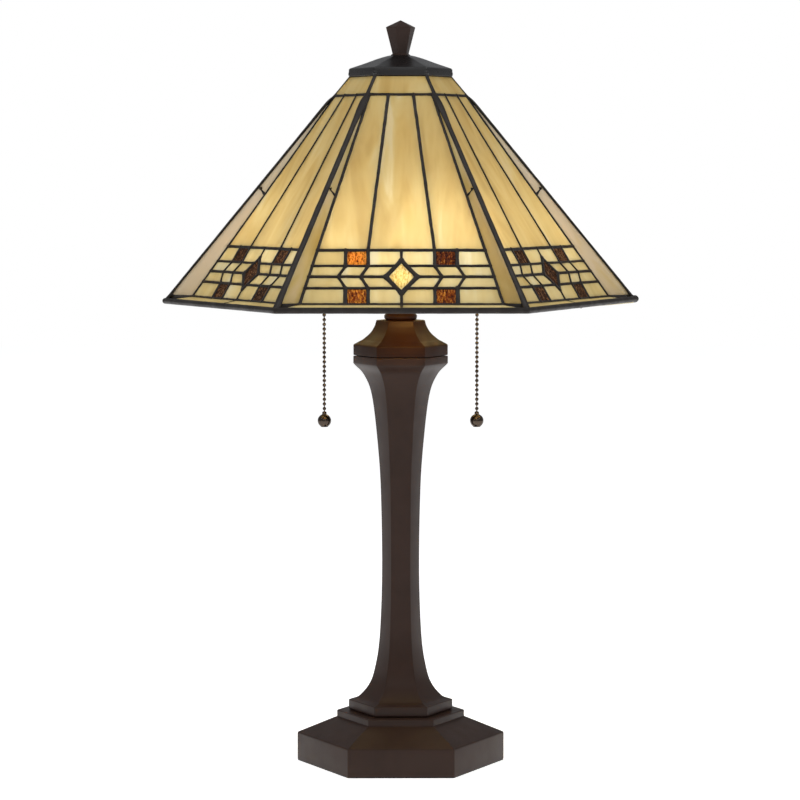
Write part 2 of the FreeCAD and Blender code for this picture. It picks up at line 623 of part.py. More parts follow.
def pull_lever():
    """The stub that slides in the spout and ends in a small bead."""
    stub = upright(PULL, CONNECTOR_PIVOT_Z + 2.5, PULL_TOP_Z, CHAIN_X)
    return stub.fuse(Part.makeSphere(PULL + 0.2, Vector(CHAIN_X, 0, CONNECTOR_PIVOT_Z + 2.5))).removeSplitter()


def chain_connector():
    """The small bell that couples the pull chain to the stub's bead."""
    top = CONNECTOR_PIVOT_Z - 0.3
    low = CHAIN_PIVOT_Z + 0.3
    return turned([[(1.2, low), (2.2, low + 1.6), (2.2, top - 1.6), (1.2, top)]], CHAIN_X)


def bead_chain():
    """Beads strung on a wire, as one turned outline, down to the pendant's neck."""
    reach = math.sqrt(BEAD**2 - BEAD_LINK**2)
    neck_top = PENDANT_Z + PENDANT + 2.5
    first = CHAIN_PIVOT_Z - 0.3 - BEAD
    count = int((first - BEAD - neck_top) / BEAD_PITCH) + 1
    edges = []
    last = Vector(CHAIN_X, 0, first + BEAD)
    for k in range(count):
        z = first - k * BEAD_PITCH
        if k:
            entry = Vector(CHAIN_X + BEAD_LINK, 0, z + reach)
            edges += line_edges([last, entry])
            last = entry
        leave = Vector(CHAIN_X + BEAD_LINK, 0, z - reach)
        edges.append(Part.Arc(last, Vector(CHAIN_X + BEAD, 0, z), leave).toShape())
        last = leave
    low = [last, Vector(CHAIN_X + BEAD_LINK, 0, neck_top), Vector(CHAIN_X, 0, neck_top)]
    edges += line_edges(low + [Vector(CHAIN_X, 0, first + BEAD)])
    return Part.Face(Part.Wire(edges)).revolve(Vector(CHAIN_X, 0, 0), UP, 360)


def pendant():
    """The ball on the chain's end: a collar over a ball with a flattened foot."""
    ball = Part.makeSphere(PENDANT, Vector(CHAIN_X, 0, PENDANT_Z))
    collar = upright(PENDANT_NECK, PENDANT_Z, PENDANT_Z + PENDANT + 2.3, CHAIN_X)
    trimmed = ball.cut(Part.makeBox(20, 20, 5, Vector(CHAIN_X - 10, -10, PENDANT_Z - PENDANT - 4.4)))
    return trimmed.fuse(collar).removeSplitter()


def make_pulls():
    for name, shape in (
        ("pull_lever", pull_lever()),
        ("chain_connector", chain_connector()),
        ("bead_chain", Part.makeCompound([bead_chain(), pendant()])),
    ):
        save("right_" + name, shape)
        save("left_" + name, mirrored(shape))


os.makedirs("parts", exist_ok=True)
make_faces()
make_ridge_cames()
make_rim_came()
make_shade_cap()
make_cap_spider()
make_finial()
make_base()
make_column()
make_post_cap()
make_cluster()
make_sockets()
make_pulls()
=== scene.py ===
import math

import bmesh
import bpy
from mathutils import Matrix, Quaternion, Vector, noise


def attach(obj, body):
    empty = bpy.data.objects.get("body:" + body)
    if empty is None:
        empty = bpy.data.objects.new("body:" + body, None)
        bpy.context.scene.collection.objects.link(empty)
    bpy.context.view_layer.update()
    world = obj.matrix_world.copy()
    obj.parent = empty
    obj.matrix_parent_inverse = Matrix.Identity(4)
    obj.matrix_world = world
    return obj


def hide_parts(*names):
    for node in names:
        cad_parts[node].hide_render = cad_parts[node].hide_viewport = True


# Looks of the stained glass table lamp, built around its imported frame. The lamp's lengths are in millimetres
# and are turned into metres where a mesh is made. Hexagons have corners on the X axis, except the finial's,
# and are given by their corner radius, as in the CAD model.

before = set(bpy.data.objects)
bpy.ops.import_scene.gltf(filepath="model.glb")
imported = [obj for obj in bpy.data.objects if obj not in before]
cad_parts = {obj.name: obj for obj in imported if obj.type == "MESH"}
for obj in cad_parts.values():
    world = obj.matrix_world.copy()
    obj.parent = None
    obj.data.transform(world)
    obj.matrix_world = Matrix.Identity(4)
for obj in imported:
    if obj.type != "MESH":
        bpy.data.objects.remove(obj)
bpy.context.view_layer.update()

MM = 0.001
SIDES = 6
FLAT = math.cos(math.radians(30))
UP = Vector((0, 0, 1))
FRONT = Vector((0, -1, 0))
CORNER_STEPS = 4  # straight pieces in a rounded corner

# Shade
RIDGE_TOP = 44.5
SHADE_TOP_Z = 600.0
RIDGE_FOOT_RADIUS = 200.8
RIDGE_FOOT_Z = 410.9
RIM_RADIUS = 205.8
RIM_Z = 405.8
BAND_RADIUS = 58.0
PANEL_HEAD_HALF = 27.2
PANEL_HEAD_OUT = 49.8
PANEL_FOOT_HALF = 84.0
PANEL_FOOT_OUT = 160.8
PANEL_FOOT_Z = 409.7
GLASS = 3.0
GAP = 0.45  # from a lead line's middle to the glass
LINE_1 = 0.748
LINE_2 = 0.821
LINE_3 = 0.871
LINE_4 = 0.924
DIVIDER_TOP = 10.6
SQUARE_NEAR = 27.4
SQUARE_FAR = 46.0
CHEVRON = 6.1
DIAMOND_HALF_WIDTH = 12.9
DIAMOND_HALF_HEIGHT = 15.7
GUSSET_SPLIT_RADIUS = 123.0
GUSSET_SPLIT = 0.491
GUSSET_TOP_RADIUS = 64.0
RIDGE_EDGE = 1.3  # the gussets' glass starts this far beside a ridge
RIDGE_GAP = 1.2  # and the top band's glass this far
FACE_GAP = 0.4  # no glass lies closer than this to the upright plane through a ridge
RIM_BEAD = 2.6
RIM_TUCK = 0.7  # the rim bead's middle lies this far inside the rim's corners
CORNER_LIFT = 1.7  # the right corner was soldered this much higher
LIP_RISE = 0.9  # the lip's outer face lies this far above the rim bead's middle
SEAM_STEP = 1.6
SEAM_SUNK = 0.1  # a seam's bead starts this far below the glass
SEAM_SWELL = 0.28
SEAM_SWELL_REACH = 2.2
SEAM_ARC = [math.radians(angle) for angle in range(0, 181, 30)]
PANE_EDGE = 0.35  # how far a pane's edge is softened

# Cap and finial
CAP_RADIUS = 45.3
CAP_Z = 600.1
CAP_BAND_Z = 607.0
CAP_CROWN_Z = 618.6
FINIAL_TOP_Z = 648.8
FINIAL_TURN = 12.0

# Stand
BASE_RADIUS = 91.2
BASE_SLAB_Z = 25.2
BASE_PLINTH_RADIUS = 56.2
BASE_TOP_Z = 45.1
FELT = 0.8
FOOT_RADIUS = 45.8
FOOT_Z = 54.5
CAPITAL_RADIUS = 41.5
SEAM_Z = 358.1
POST_TOP_Z = 389.2
NECK_TOP_Z = 396.4

# Cluster and sockets
CLUSTER_RADIUS = 17.5
CLUSTER_TOP_Z = 414.0
COVER_TOP_Z = 417.0
SOCKET_X = 36.0
SHELL_Z = 426.0
SHELL_TOP_Z = 456.0
SHELL = 16.5
SPOUT_Z = 429.6
BULB = 25.0
BULB_Z = 484.0
BULB_NECK_Z = 455.6
BULB_NECK = 12.4
THREADS = 4
THREAD_PITCH = 2.6

# Pull chains
CHAIN_X = 66.7
CHAIN_PIVOT_Z = 407.6
BEAD = 1.6
BEAD_LINK = 0.5
BEAD_PITCH = 4.1
PENDANT = 5.95
PENDANT_Z = 300.8


# Mesh helpers


class Shell:
    """Points, in millimetres, and faces of one piece. Points of glass have a grain, which is their place on
    the pane, and points of glass and came have a tone, which moves a pane's colour and on came paints a
    highlight."""

    def __init__(self):
        self.points = []
        self.faces = []
        self.grain = []
        self.tone = []

    def add(self, points, faces):
        start = len(self.points)
        self.points += points
        self.faces += [tuple(start + i for i in face) for face in faces]
        self.tone += [0.0] * (len(self.points) - len(self.tone))


def heading(degrees):
    """The level direction at an angle from the X axis."""
    angle = math.radians(degrees)
    return Vector((math.cos(angle), math.sin(angle), 0))


def wander(x, seed):
    """Smooth noise between about -1 and 1 along a length."""
    return noise.noise(Vector((x, seed * 7.31, seed * 1.7)))


def loft(shell, rings, closed=False, tones=None):
    """Skins rings of points, with flat ends unless the rings close on themselves. Tones are for one ring."""
    count = len(rings[0])
    if tones:
        shell.tone += tones * len(rings)
    points = [point for ring in rings for point in ring]
    faces = []
    spans = len(rings) if closed else len(rings) - 1
    for i in range(spans):
        low = i * count
        high = (i + 1) % len(rings) * count
        faces += [(low + j, low + (j + 1) % count, high + (j + 1) % count, high + j) for j in range(count)]
    if not closed:
        faces.append(tuple(reversed(range(count))))
        faces.append(tuple(range(len(points) - count, len(points))))
    shell.add(points, faces)


def filleted(outline):
    """An outline of (radius, height, rounding) with its corners rounded, as points (radius, height)."""
    points = []
    for i, (radius, z, rounding) in enumerate(outline):
        here = Vector((radius, z))
        if rounding == 0 or i in (0, len(outline) - 1):
            points.append(here)
            continue
        before = Vector(outline[i - 1][:2]) - here
        after = Vector(outline[i + 1][:2]) - here
        reach = min(rounding, 0.45 * before.length, 0.45 * after.length)
        start = here + before.normalized() * reach
        end = here + after.normalized() * reach
        for k in range(CORNER_STEPS + 1):
            t = k / CORNER_STEPS
            points.append(start * (1 - t) ** 2 + here * (2 * t * (1 - t)) + end * t**2)
    return points


def smooth_curve(points, steps=6):
    """A curve through the points (radius, height), by Catmull and Rom's rule."""
    knots = [Vector(point) for point in points]
    knots = [knots[0] * 2 - knots[1]] + knots + [knots[-1] * 2 - knots[-2]]
    curve = []
    for i in range(1, len(knots) - 2):
        a, b, c, d = knots[i - 1 : i + 3]
        for k in range(steps):
            t = k / steps
            straight = b * 2 + (c - a) * t
            curved = straight + (a * 2 - b * 5 + c * 4 - d) * t**2
            curve.append((curved + (b * 3 - a - c * 3 + d) * t**3) * 0.5)
    return curve + [knots[-2]]


def hexagon_ring(radius, z, rounding, turn=0.0):
    """A hexagon at a height, with rounded corners."""
    rounding = min(rounding, 0.8 * radius)
    ring = []
    for corner in range(SIDES):
        middle = heading(60 * corner + turn) * (radius - rounding / FLAT)
        for k in range(CORNER_STEPS + 1):
            angle = math.radians(60 * corner + turn) + math.radians(-30 + 60 * k / CORNER_STEPS)
            ring.append(middle + Vector((math.cos(angle), math.sin(angle), 0)) * rounding + UP * z)
    return ring


def hexagonal(outline, rounding, turn=0.0):
    """A hexagonal casting with an outline of (radius, height)."""
    shell = Shell()
    loft(shell, [hexagon_ring(radius, z, rounding, turn) for radius, z in outline])
    return shell


def full_turn(steps):
    """The angles that divide a full turn into equal steps."""
    return [2 * math.pi * k / steps for k in range(steps)]


def circle_ring(radius, z, x=0.0, steps=40):
    return [Vector((x + radius * math.cos(a), radius * math.sin(a), z)) for a in full_turn(steps)]


def turned(shell, outline, x=0.0, steps=40, closed=False):
    loft(shell, [circle_ring(radius, z, x, steps) for radius, z in outline], closed)


def turning(outline, x=0.0, steps=40):
    """A turned piece with an outline of (radius, height)."""
    shell = Shell()
    turned(shell, outline, x, steps)
    return shell


def tube(path, radii, sides):
    """A round bar along a path of points, with its own radius at each."""
    rings = []
    across = None
    for i, point in enumerate(path):
        along = (path[min(i + 1, len(path) - 1)] - path[max(i - 1, 0)]).normalized()
        if across is None:
            across = along.orthogonal().normalized()
        across = (across - along * across.dot(along)).normalized()
        side = along.cross(across)
        rings.append([
            point + (across * math.cos(a) + side * math.sin(a)) * radii[i]
            for a in full_turn(sides)
        ])
    shell = Shell()
    loft(shell, rings)
    return shell


def blob(shell, centre, normal, across, height, steps=10, highlight=0.0):
    """A flattened bead of solder. Its tone, which paints a highlight, rises from 0 at its middle towards the
    given highlight's at its top.
    """
    side = normal.orthogonal().normalized()
    other = normal.cross(side)
    rings = []
    for level in (-0.98, -0.7, -0.3, 0.1, 0.5, 0.8, 0.95):
        width = across * math.sqrt(1 - level**2)
        ring = []
        for angle in full_turn(steps):
            spoke = side * math.cos(angle) + other * math.sin(angle)
            ring.append(centre + spoke * width + normal * (height * level))
        rings.append(ring)
        shell.tone += [highlight * max(0, level)] * steps
    loft(shell, rings)


def moved(shell, move):
    """A copy of the shell with every point moved."""
    copy = Shell()
    copy.points = [move(point) for point in shell.points]
    copy.faces = list(shell.faces)
    copy.grain = list(shell.grain)
    copy.tone = list(shell.tone)
    return copy


def spun(shell, turn):
    """A copy of the shell turned about the lamp's axis, in degrees."""
    spin = Quaternion(UP, math.radians(turn))
    return moved(shell, lambda point: spin @ point)


def mirrored(shell):
    return moved(shell, lambda point: Vector((-point.x, point.y, point.z)))


def add_object(name, data):
    thing = bpy.data.objects.new(name, data)
    bpy.context.scene.collection.objects.link(thing)
    return thing


def make_piece(name, shell, material, body, replaces, sharp=40):
    """Makes a shell into a piece of the lamp, with edges sharper than an angle left unsmoothed."""
    mesh = bpy.data.meshes.new(name)
    mesh.from_pydata([point * MM for point in shell.points], [], shell.faces)
    if shell.grain:
        mesh.attributes.new("grain", "FLOAT_VECTOR", "POINT")
        mesh.attributes["grain"].data.foreach_set("vector", [x for grain in shell.grain for x in grain])
    if any(shell.tone):
        mesh.attributes.new("tone", "FLOAT", "POINT")
        mesh.attributes["tone"].data.foreach_set("value", shell.tone)
    solid = bmesh.new()
    solid.from_mesh(mesh)
    bmesh.ops.recalc_face_normals(solid, faces=solid.faces)
    solid.to_mesh(mesh)
    solid.free()
    mesh.shade_smooth()
    mesh.set_sharp_from_angle(angle=math.radians(sharp))
    mesh.materials.append(material)
    piece = add_object(name, mesh)
    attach(piece, body)
    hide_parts(*replaces)


# Materials


class Graph:
    """The node tree of a material or world, built node by node."""

    def __init__(self, owner):
        self.owner = owner
        owner.use_nodes = True
        self.tree = owner.node_tree
        self.tree.nodes.clear()

    def set_input(self, socket, value):
        if isinstance(value, bpy.types.NodeSocket):
            self.tree.links.new(value, socket)
        else:
            socket.default_value = value

    def node(self, kind, inputs=None, **settings):
        node = self.tree.nodes.new("ShaderNode" + kind)
        for key, value in settings.items():
            setattr(node, key, value)
        for key, value in (inputs or {}).items():
            self.set_input(node.inputs[key], value)
        return node

    def add(self, kind, inputs=None, output=0, **settings):
        """Adds a node and gives one of its outputs."""
        return self.node(kind, inputs, **settings).outputs[output]

    def spots(self, vector, scale, detail=3.0, distortion=0.0, roughness=0.5):
        """Noise from about 0 to 1."""
        return self.add("TexNoise", {
            "Vector": vector,
            "Scale": scale,
            "Detail": detail,
            "Distortion": distortion,
            "Roughness": roughness,
        })

    def streaks(self, vector, scales, detail, distortion=0.0, roughness=0.5):
        """Noise with a scale of its own along each axis."""
        stretched = self.add("Mapping", {"Vector": vector, "Scale": scales})
        return self.spots(stretched, 1.0, detail, distortion, roughness)

    def between(self, value, low, high, from_low=0.3, from_high=0.7):
        limits = {"From Min": from_low, "From Max": from_high, "To Min": low, "To Max": high}
        return self.add("MapRange", {"Value": value, **limits})

    def total(self, first, second):
        return self.add("Math", {0: first, 1: second}, operation="ADD")

    def ramp(self, value, stops):
        node = self.node("ValToRGB", {"Fac": value})
        elements = node.color_ramp.elements
        elements[0].position, elements[0].color = stops[0]
        elements[1].position, elements[1].color = stops[-1]
        for position, colour in stops[1:-1]:
            elements.new(position).color = colour
        return node.outputs["Color"]

    def blended(self, factor, first, second):
        node = self.node("Mix", {"Factor": factor}, data_type="RGBA")
        self.set_input(node.inputs[6], first)
        self.set_input(node.inputs[7], second)
        return node.outputs[2]

    def bump(self, height, strength, distance):
        return self.add("Bump", {"Height": height, "Strength": strength, "Distance": distance})

    def place(self):
        return self.add("TexCoord", output="Object")

    def grain(self):
        return self.add("Attribute", output="Vector", attribute_name="grain")

    def tone(self):
        return self.add("Attribute", output="Fac", attribute_name="tone")

    def finish(self, surface, kind="Material"):
        self.node("Output" + kind, {"Surface": surface})
        return self.owner

    def finish_glass(self, colour, behind, roughness, shine, normal, translucent):
        """Glass whose front has a gloss, and which lets a share of the light behind it through."""
        front = self.add("BsdfPrincipled", {
            "Base Color": colour,
            "Roughness": roughness,
            "Specular IOR Level": shine,
            "Normal": normal,
        })
        back = self.add("BsdfTranslucent", {"Color": behind})
        return self.finish(self.add("MixShader", {0: translucent, 1: front, 2: back}))


def new_material(name):
    return Graph(bpy.data.materials.new(name))


def linear(red, green, blue):
    """A display colour, 0 to 255, as the linear colour that the nodes use."""
    channels = [value / 255 for value in (red, green, blue)]
    return tuple(((c + 0.055) / 1.055) ** 2.4 if c > 0.04 else c / 12.92 for c in channels) + (1.0,)


def cast_finish(name, deep, pale, roughness, metallic=0.0, shine=0.5, speck=900.0, bump=0.25):
    """Painted, plated or moulded surfaces: a mottled colour, a fine grain and uneven gloss."""
    graph = new_material(name)
    place = graph.place()
    mottle = graph.spots(place, 28.0, 5.0, 0.4)
    fine = graph.spots(place, speck, 2.0)
    return graph.finish(graph.add("BsdfPrincipled", {
        "Base Color": graph.ramp(mottle, [(0.3, deep), (0.72, pale)]),
        "Roughness": graph.between(graph.spots(place, 60.0, 4.0), roughness * 0.85, roughness * 1.2),
        "Metallic": metallic,
        "Specular IOR Level": shine,
        "Normal": graph.bump(fine, bump, 0.0002),
    }))


def patina_and_highlight(name, dark, highlight, sheen, roughness):
    """Blackened solder: dark brown at its edges, with a painted highlight in grey on its crests, laid on by
    its tone, and worn spots and a lumpy skin.
    """
    graph = new_material(name)
    place = graph.place()
    worn = graph.spots(place, 90.0, 6.0, 0.8)
    lumps = graph.spots(place, 260.0, 3.0)
    # The tone blends the dark brown towards the painted highlight colour.
    colour = graph.blended(graph.tone(), dark, highlight)
    return graph.finish(graph.add("BsdfPrincipled", {
        "Base Color": graph.blended(graph.between(worn, 0.0, 0.5, 0.45, 0.8), colour, sheen),
        "Metallic": 0.1,
        "Specular IOR Level": 0.24,
        "Roughness": graph.between(worn, roughness * 1.2, roughness * 0.8),
        "Normal": graph.bump(lumps, 0.35, 0.0004),
    }))


def opal_glass(name, deep, honey, pale, wisp, through, translucent):
    """Streaky opalescent glass, which scatters the light behind it. Its soft patches and streaks follow each
    pane's grain, and its tone moves a whole pane towards honey or cream."""
    graph = new_material(name)
    grain = graph.grain()
    broad = graph.streaks(grain, (0.035, 0.009, 0.05), 3.0, 0.8)
    wisps = graph.streaks(grain, (0.075, 0.014, 0.1), 2.0, 1.2, 0.45)
    patches = graph.streaks(grain, (0.035, 0.022, 0.1), 2.0, 0.5)
    ripple = graph.streaks(grain, (0.1, 0.04, 0.1), 2.0)
    mixed = graph.between(graph.total(graph.total(broad, wisps), graph.tone()), 0.0, 1.0, 0.7, 1.35)
    colour = graph.ramp(mixed, [(0.0, deep), (0.4, honey), (0.75, pale), (1.0, wisp)])
    colour = graph.blended(graph.between(patches, 0.0, 0.45), colour, pale)
    behind = graph.blended(0.6, colour, through)
    return graph.finish_glass(colour, behind, 0.2, 0.3, graph.bump(ripple, 0.2, 0.0012), translucent)


def rippled_glass(name, dark, middle, bright, translucent):
    """Rippled coloured glass: deep in its hollows and bright on its crests, where light gathers. Its tone
    moves a whole pane towards dark or bright."""
    graph = new_material(name)
    grain = graph.grain()
    ripples = graph.streaks(grain, (0.55, 0.1, 0.5), 3.0, 1.5)
    flecks = graph.streaks(grain, (0.8, 0.5, 0.8), 2.0, 0.6)
    height = graph.total(ripples, flecks)
    mixed = graph.between(graph.total(height, graph.tone()), 0.0, 1.0, 0.72, 1.4)
    colour = graph.ramp(mixed, [(0.1, dark), (0.5, middle), (0.9, bright)])
    return graph.finish_glass(colour, colour, 0.14, 0.15, graph.bump(height, 0.5, 0.001), translucent)


def lit_bulb(name, warm, pale, strength):
    """A frosted envelope, alight, with a faint mottle."""
    graph = new_material(name)
    frost = graph.spots(graph.place(), 160.0, 3.0)
    glow = graph.ramp(frost, [(0.35, warm), (0.65, pale)])
    light = graph.add("Emission", {"Color": glow, "Strength": strength})
    skin = graph.add("BsdfPrincipled", {"Base Color": (0.9, 0.88, 0.82, 1.0), "Roughness": 0.4})
    return graph.finish(graph.add("AddShader", {0: light, 1: skin}))


BRONZE = cast_finish("bronze_paint", linear(44, 30, 24), linear(51, 36, 30), 0.34, 0.0, 0.15)
# Painted shade: a darker, redder copy of the bronze paint for the post cap and neck, which stand under the
# shade.
SHADED_BRONZE = cast_finish("shaded_bronze", linear(35, 18, 8), linear(42, 23, 11), 0.4, 0.0, 0.1)
CAP = cast_finish("cap_patina", linear(18, 16, 16), linear(27, 25, 25), 0.27, 0.1, 0.5)
# The came's second colour is its painted highlight; the third is the colour of its worn spots.
CAME = patina_and_highlight("came_patina_and_highlight", linear(20, 10, 4), linear(34, 29, 26), linear(56, 52, 49), 0.42)
CHAIN = cast_finish("chain_bronze", linear(62, 52, 45), linear(92, 81, 72), 0.15, 0.9, bump=0.05)
BRASS = cast_finish("plain_brass", linear(150, 118, 62), linear(186, 152, 88), 0.32, 1.0)
STEEL = cast_finish("zinc_steel", linear(120, 120, 122), linear(168, 168, 170), 0.36, 1.0)
IRON = cast_finish("raw_iron", linear(46, 44, 43), linear(70, 66, 62), 0.75, 0.4, speck=400.0, bump=0.6)
PHENOLIC = cast_finish("black_phenolic", linear(20, 18, 18), linear(32, 29, 28), 0.5)
RUBBER = cast_finish("bushing_rubber", linear(18, 18, 18), linear(30, 30, 30), 0.7)
FELT_CLOTH = cast_finish("felt_cloth", linear(22, 24, 22), linear(44, 46, 43), 0.95, speck=1800.0, bump=0.9)
BULB_CAP = cast_finish("bulb_cap_metal", linear(170, 170, 172), linear(210, 210, 212), 0.28, 1.0)
FIELD = opal_glass("honey_opal", linear(196, 163, 92), linear(213, 186, 116), linear(222, 202, 142),
                   linear(232, 218, 176), linear(242, 232, 198), 0.45)
BORDER = opal_glass("cream_opal", linear(204, 178, 108), linear(220, 199, 136), linear(230, 215, 164),
                    linear(238, 231, 202), linear(243, 233, 200), 0.45)
GUSSET = opal_glass("olive_opal", linear(196, 166, 92), linear(214, 190, 120), linear(224, 203, 156),
                    linear(232, 215, 188), linear(236, 220, 174), 0.35)
# The bright amber and the pale champagne glass are lit copies, for the front and back faces.
AMBER = rippled_glass("amber_ripple", linear(48, 16, 2), linear(150, 72, 6), linear(255, 184, 70), 0.5)
# Painted shade: a darker brown copy of the amber and champagne glass, for the squares and diamonds of the four
# slanting faces.
SHADED_AMBER = rippled_glass("shaded_amber_ripple", linear(44, 22, 8), linear(88, 54, 27), linear(184, 134, 88), 0.4)
CHAMPAGNE = rippled_glass("champagne_ripple", linear(206, 174, 96), linear(250, 233, 170),
                          linear(255, 250, 222), 0.6)
BULB_GLASS = lit_bulb("frosted_bulb", (1.0, 0.80, 0.52, 1.0), (1.0, 0.86, 0.62, 1.0), 1.6)


# Shade


def corner_point(radius, z, side=1):
    return Vector((side * radius / 2, -radius * FLAT, z))


# A ridge bead's section: across, from -1 to 1, and from its low side, 0, to its high side, 1.
STRIP_SECTION = [(1.0, 0.45), (0.93, 0.7), (0.75, 0.88), (0.45, 0.98), (0.0, 1.0), (-0.45, 0.98),
                 (-0.75, 0.88), (-0.93, 0.7), (-1.0, 0.45), (-0.93, 0.25), (-0.6, 0.08), (0.0, 0.0),
                 (0.6, 0.08), (0.93, 0.25)]
RIDGE_BREADTHS = (1.06, 1.1, 1.1, 1.08, 1.1, 1.2)  # of the six ridges, below the top band


def ridge_point(radius, side=1):
    """Point of the front face's ridge line at a corner radius."""
    fall = (SHADE_TOP_Z - RIDGE_FOOT_Z) / (RIDGE_FOOT_RADIUS - RIDGE_TOP)
    return corner_point(radius, SHADE_TOP_Z - (radius - RIDGE_TOP) * fall, side)


PANEL_HEAD = Vector((0, -PANEL_HEAD_OUT, ridge_point(BAND_RADIUS).z))
PANEL_FOOT = Vector((0, -PANEL_FOOT_OUT, PANEL_FOOT_Z))
PANEL_SLOPE = (PANEL_FOOT - PANEL_HEAD).length
DOWN_PANEL = (PANEL_FOOT - PANEL_HEAD).normalized()
DIAMOND_HIGH = DIAMOND_HALF_HEIGHT / PANEL_SLOPE
DIAMOND_TOP = LINE_3 - DIAMOND_HIGH
DIAMOND_FOOT = LINE_3 + DIAMOND_HIGH
DIAMOND_AT_2 = DIAMOND_HALF_WIDTH * (1 - (LINE_3 - LINE_2) / DIAMOND_HIGH)
DIAMOND_AT_4 = DIAMOND_HALF_WIDTH * (1 - (LINE_4 - LINE_3) / DIAMOND_HIGH)
NEAR_POINT = SQUARE_NEAR + CHEVRON
FAR_POINT = SQUARE_FAR + CHEVRON


def on_panel(x, t):
    """Point of the front panel, t of the way down its slope."""
    return Vector((x, 0, 0)) + PANEL_HEAD + (PANEL_FOOT - PANEL_HEAD) * t


def edge_x(t):
    return PANEL_HEAD_HALF + (PANEL_FOOT_HALF - PANEL_HEAD_HALF) * t


def panel_edge(side, t):
    """Point of the front panel's right or left edge, t of the way down."""
    return on_panel(side * edge_x(t), t)


def ridge_edge(radius, side):
    """The gusset glass's outer corner beside a ridge, under the ridge's bead."""
    return ridge_point(radius, side) + Vector((-side * FLAT, -0.5, 0)) * RIDGE_EDGE


# The lines across a panel, each with the points, from the middle out, where the border's other lines meet it.
CROSS_LINES = (
    (LINE_1, (0, SQUARE_NEAR, SQUARE_FAR)),
    (LINE_2, (DIAMOND_AT_2, SQUARE_NEAR, SQUARE_FAR)),
    (LINE_3, (DIAMOND_HALF_WIDTH, NEAR_POINT, FAR_POINT)),
    (LINE_4, (DIAMOND_AT_4, SQUARE_NEAR, SQUARE_FAR)),
    (1, (0, SQUARE_NEAR, SQUARE_FAR)),
)


def panel_cells():
    """The panel's panes as (kind, corners), corners being (across, fraction down)."""
    pairs = [
        ("field", [(DIVIDER_TOP, 0), (edge_x(0), 0), (edge_x(LINE_1), LINE_1), (SQUARE_NEAR, LINE_1)]),
    ]
    for (t, high), (u, low) in zip(CROSS_LINES, CROSS_LINES[1:]):
        high += (edge_x(t),)
        low += (edge_x(u),)
        row = [[(high[i], t), (high[i + 1], t), (low[i + 1], u), (low[i], u)] for i in range(3)]
        square = "border"
        if t == LINE_1:
            row[0].append((0, DIAMOND_TOP))
            square = "amber"
        if t == LINE_4:
            row[0].insert(0, (0, DIAMOND_FOOT))
            square = "amber"
        pairs += zip(("border", square, "border"), row)
    cells = [
        ("field", [(-DIVIDER_TOP, 0), (DIVIDER_TOP, 0), (SQUARE_NEAR, LINE_1), (-SQUARE_NEAR, LINE_1)]),
        ("diamond", [(0, DIAMOND_TOP), (DIAMOND_HALF_WIDTH, LINE_3), (0, DIAMOND_FOOT),
                     (-DIAMOND_HALF_WIDTH, LINE_3)]),
    ]
    for kind, corners in pairs:
        for side in (1, -1):
            cells.append((kind, [(side * x, t) for x, t in corners]))
    return [(kind, [on_panel(x, t) for x, t in corners]) for kind, corners in cells]


def outward_normal(corners, outward):
    normal = (corners[1] - corners[0]).cross(corners[2] - corners[0]).normalized()
    return normal if normal.dot(outward) > 0 else -normal


PANEL_NORMAL = outward_normal([on_panel(0, 0), on_panel(1, 0), on_panel(0, 1)], FRONT)


def drawn_in(corners, distances):
    """A flat convex polygon drawn in, edge by edge. Edge i runs from corner i to the next."""
    count = len(corners)
    drawn = []
    for i, corner in enumerate(corners):
        arriving = (corner - corners[i - 1]).normalized()
        leaving = (corners[(i + 1) % count] - corner).normalized()
        sine = arriving.cross(leaving).length
        drawn.append(corner + leaving * (distances[i - 1] / sine) - arriving * (distances[i] / sine))
    return drawn


# How each kind of glass is gridded (mm) and rolled: grid, height of its waves, their size across and along,
# and how much its panes' tones differ.
SURFACES = {
    "field": (5.0, 0.16, (14.0, 40.0), 0.16),
    "border": (3.5, 0.12, (9.0, 12.0), 0.34),
    "gusset": (5.0, 0.14, (12.0, 30.0), 0.2),
    "amber": (0.9, 0.22, (1.7, 3.6), 0.1),
    "diamond": (0.9, 0.22, (2.4, 3.0), 0.0),
}
# Tones of the gussets: 1 right and -1 left of the front panel, 0 beside the other panels.
GUSSET_TONES = {1: -0.35, -1: 0.1, 0: 0.5}
# Tones of the front face's squares: upper right, upper left, lower right, lower left.
AMBER_TONES = (-0.1, 0.24, 0.03, 0.1)


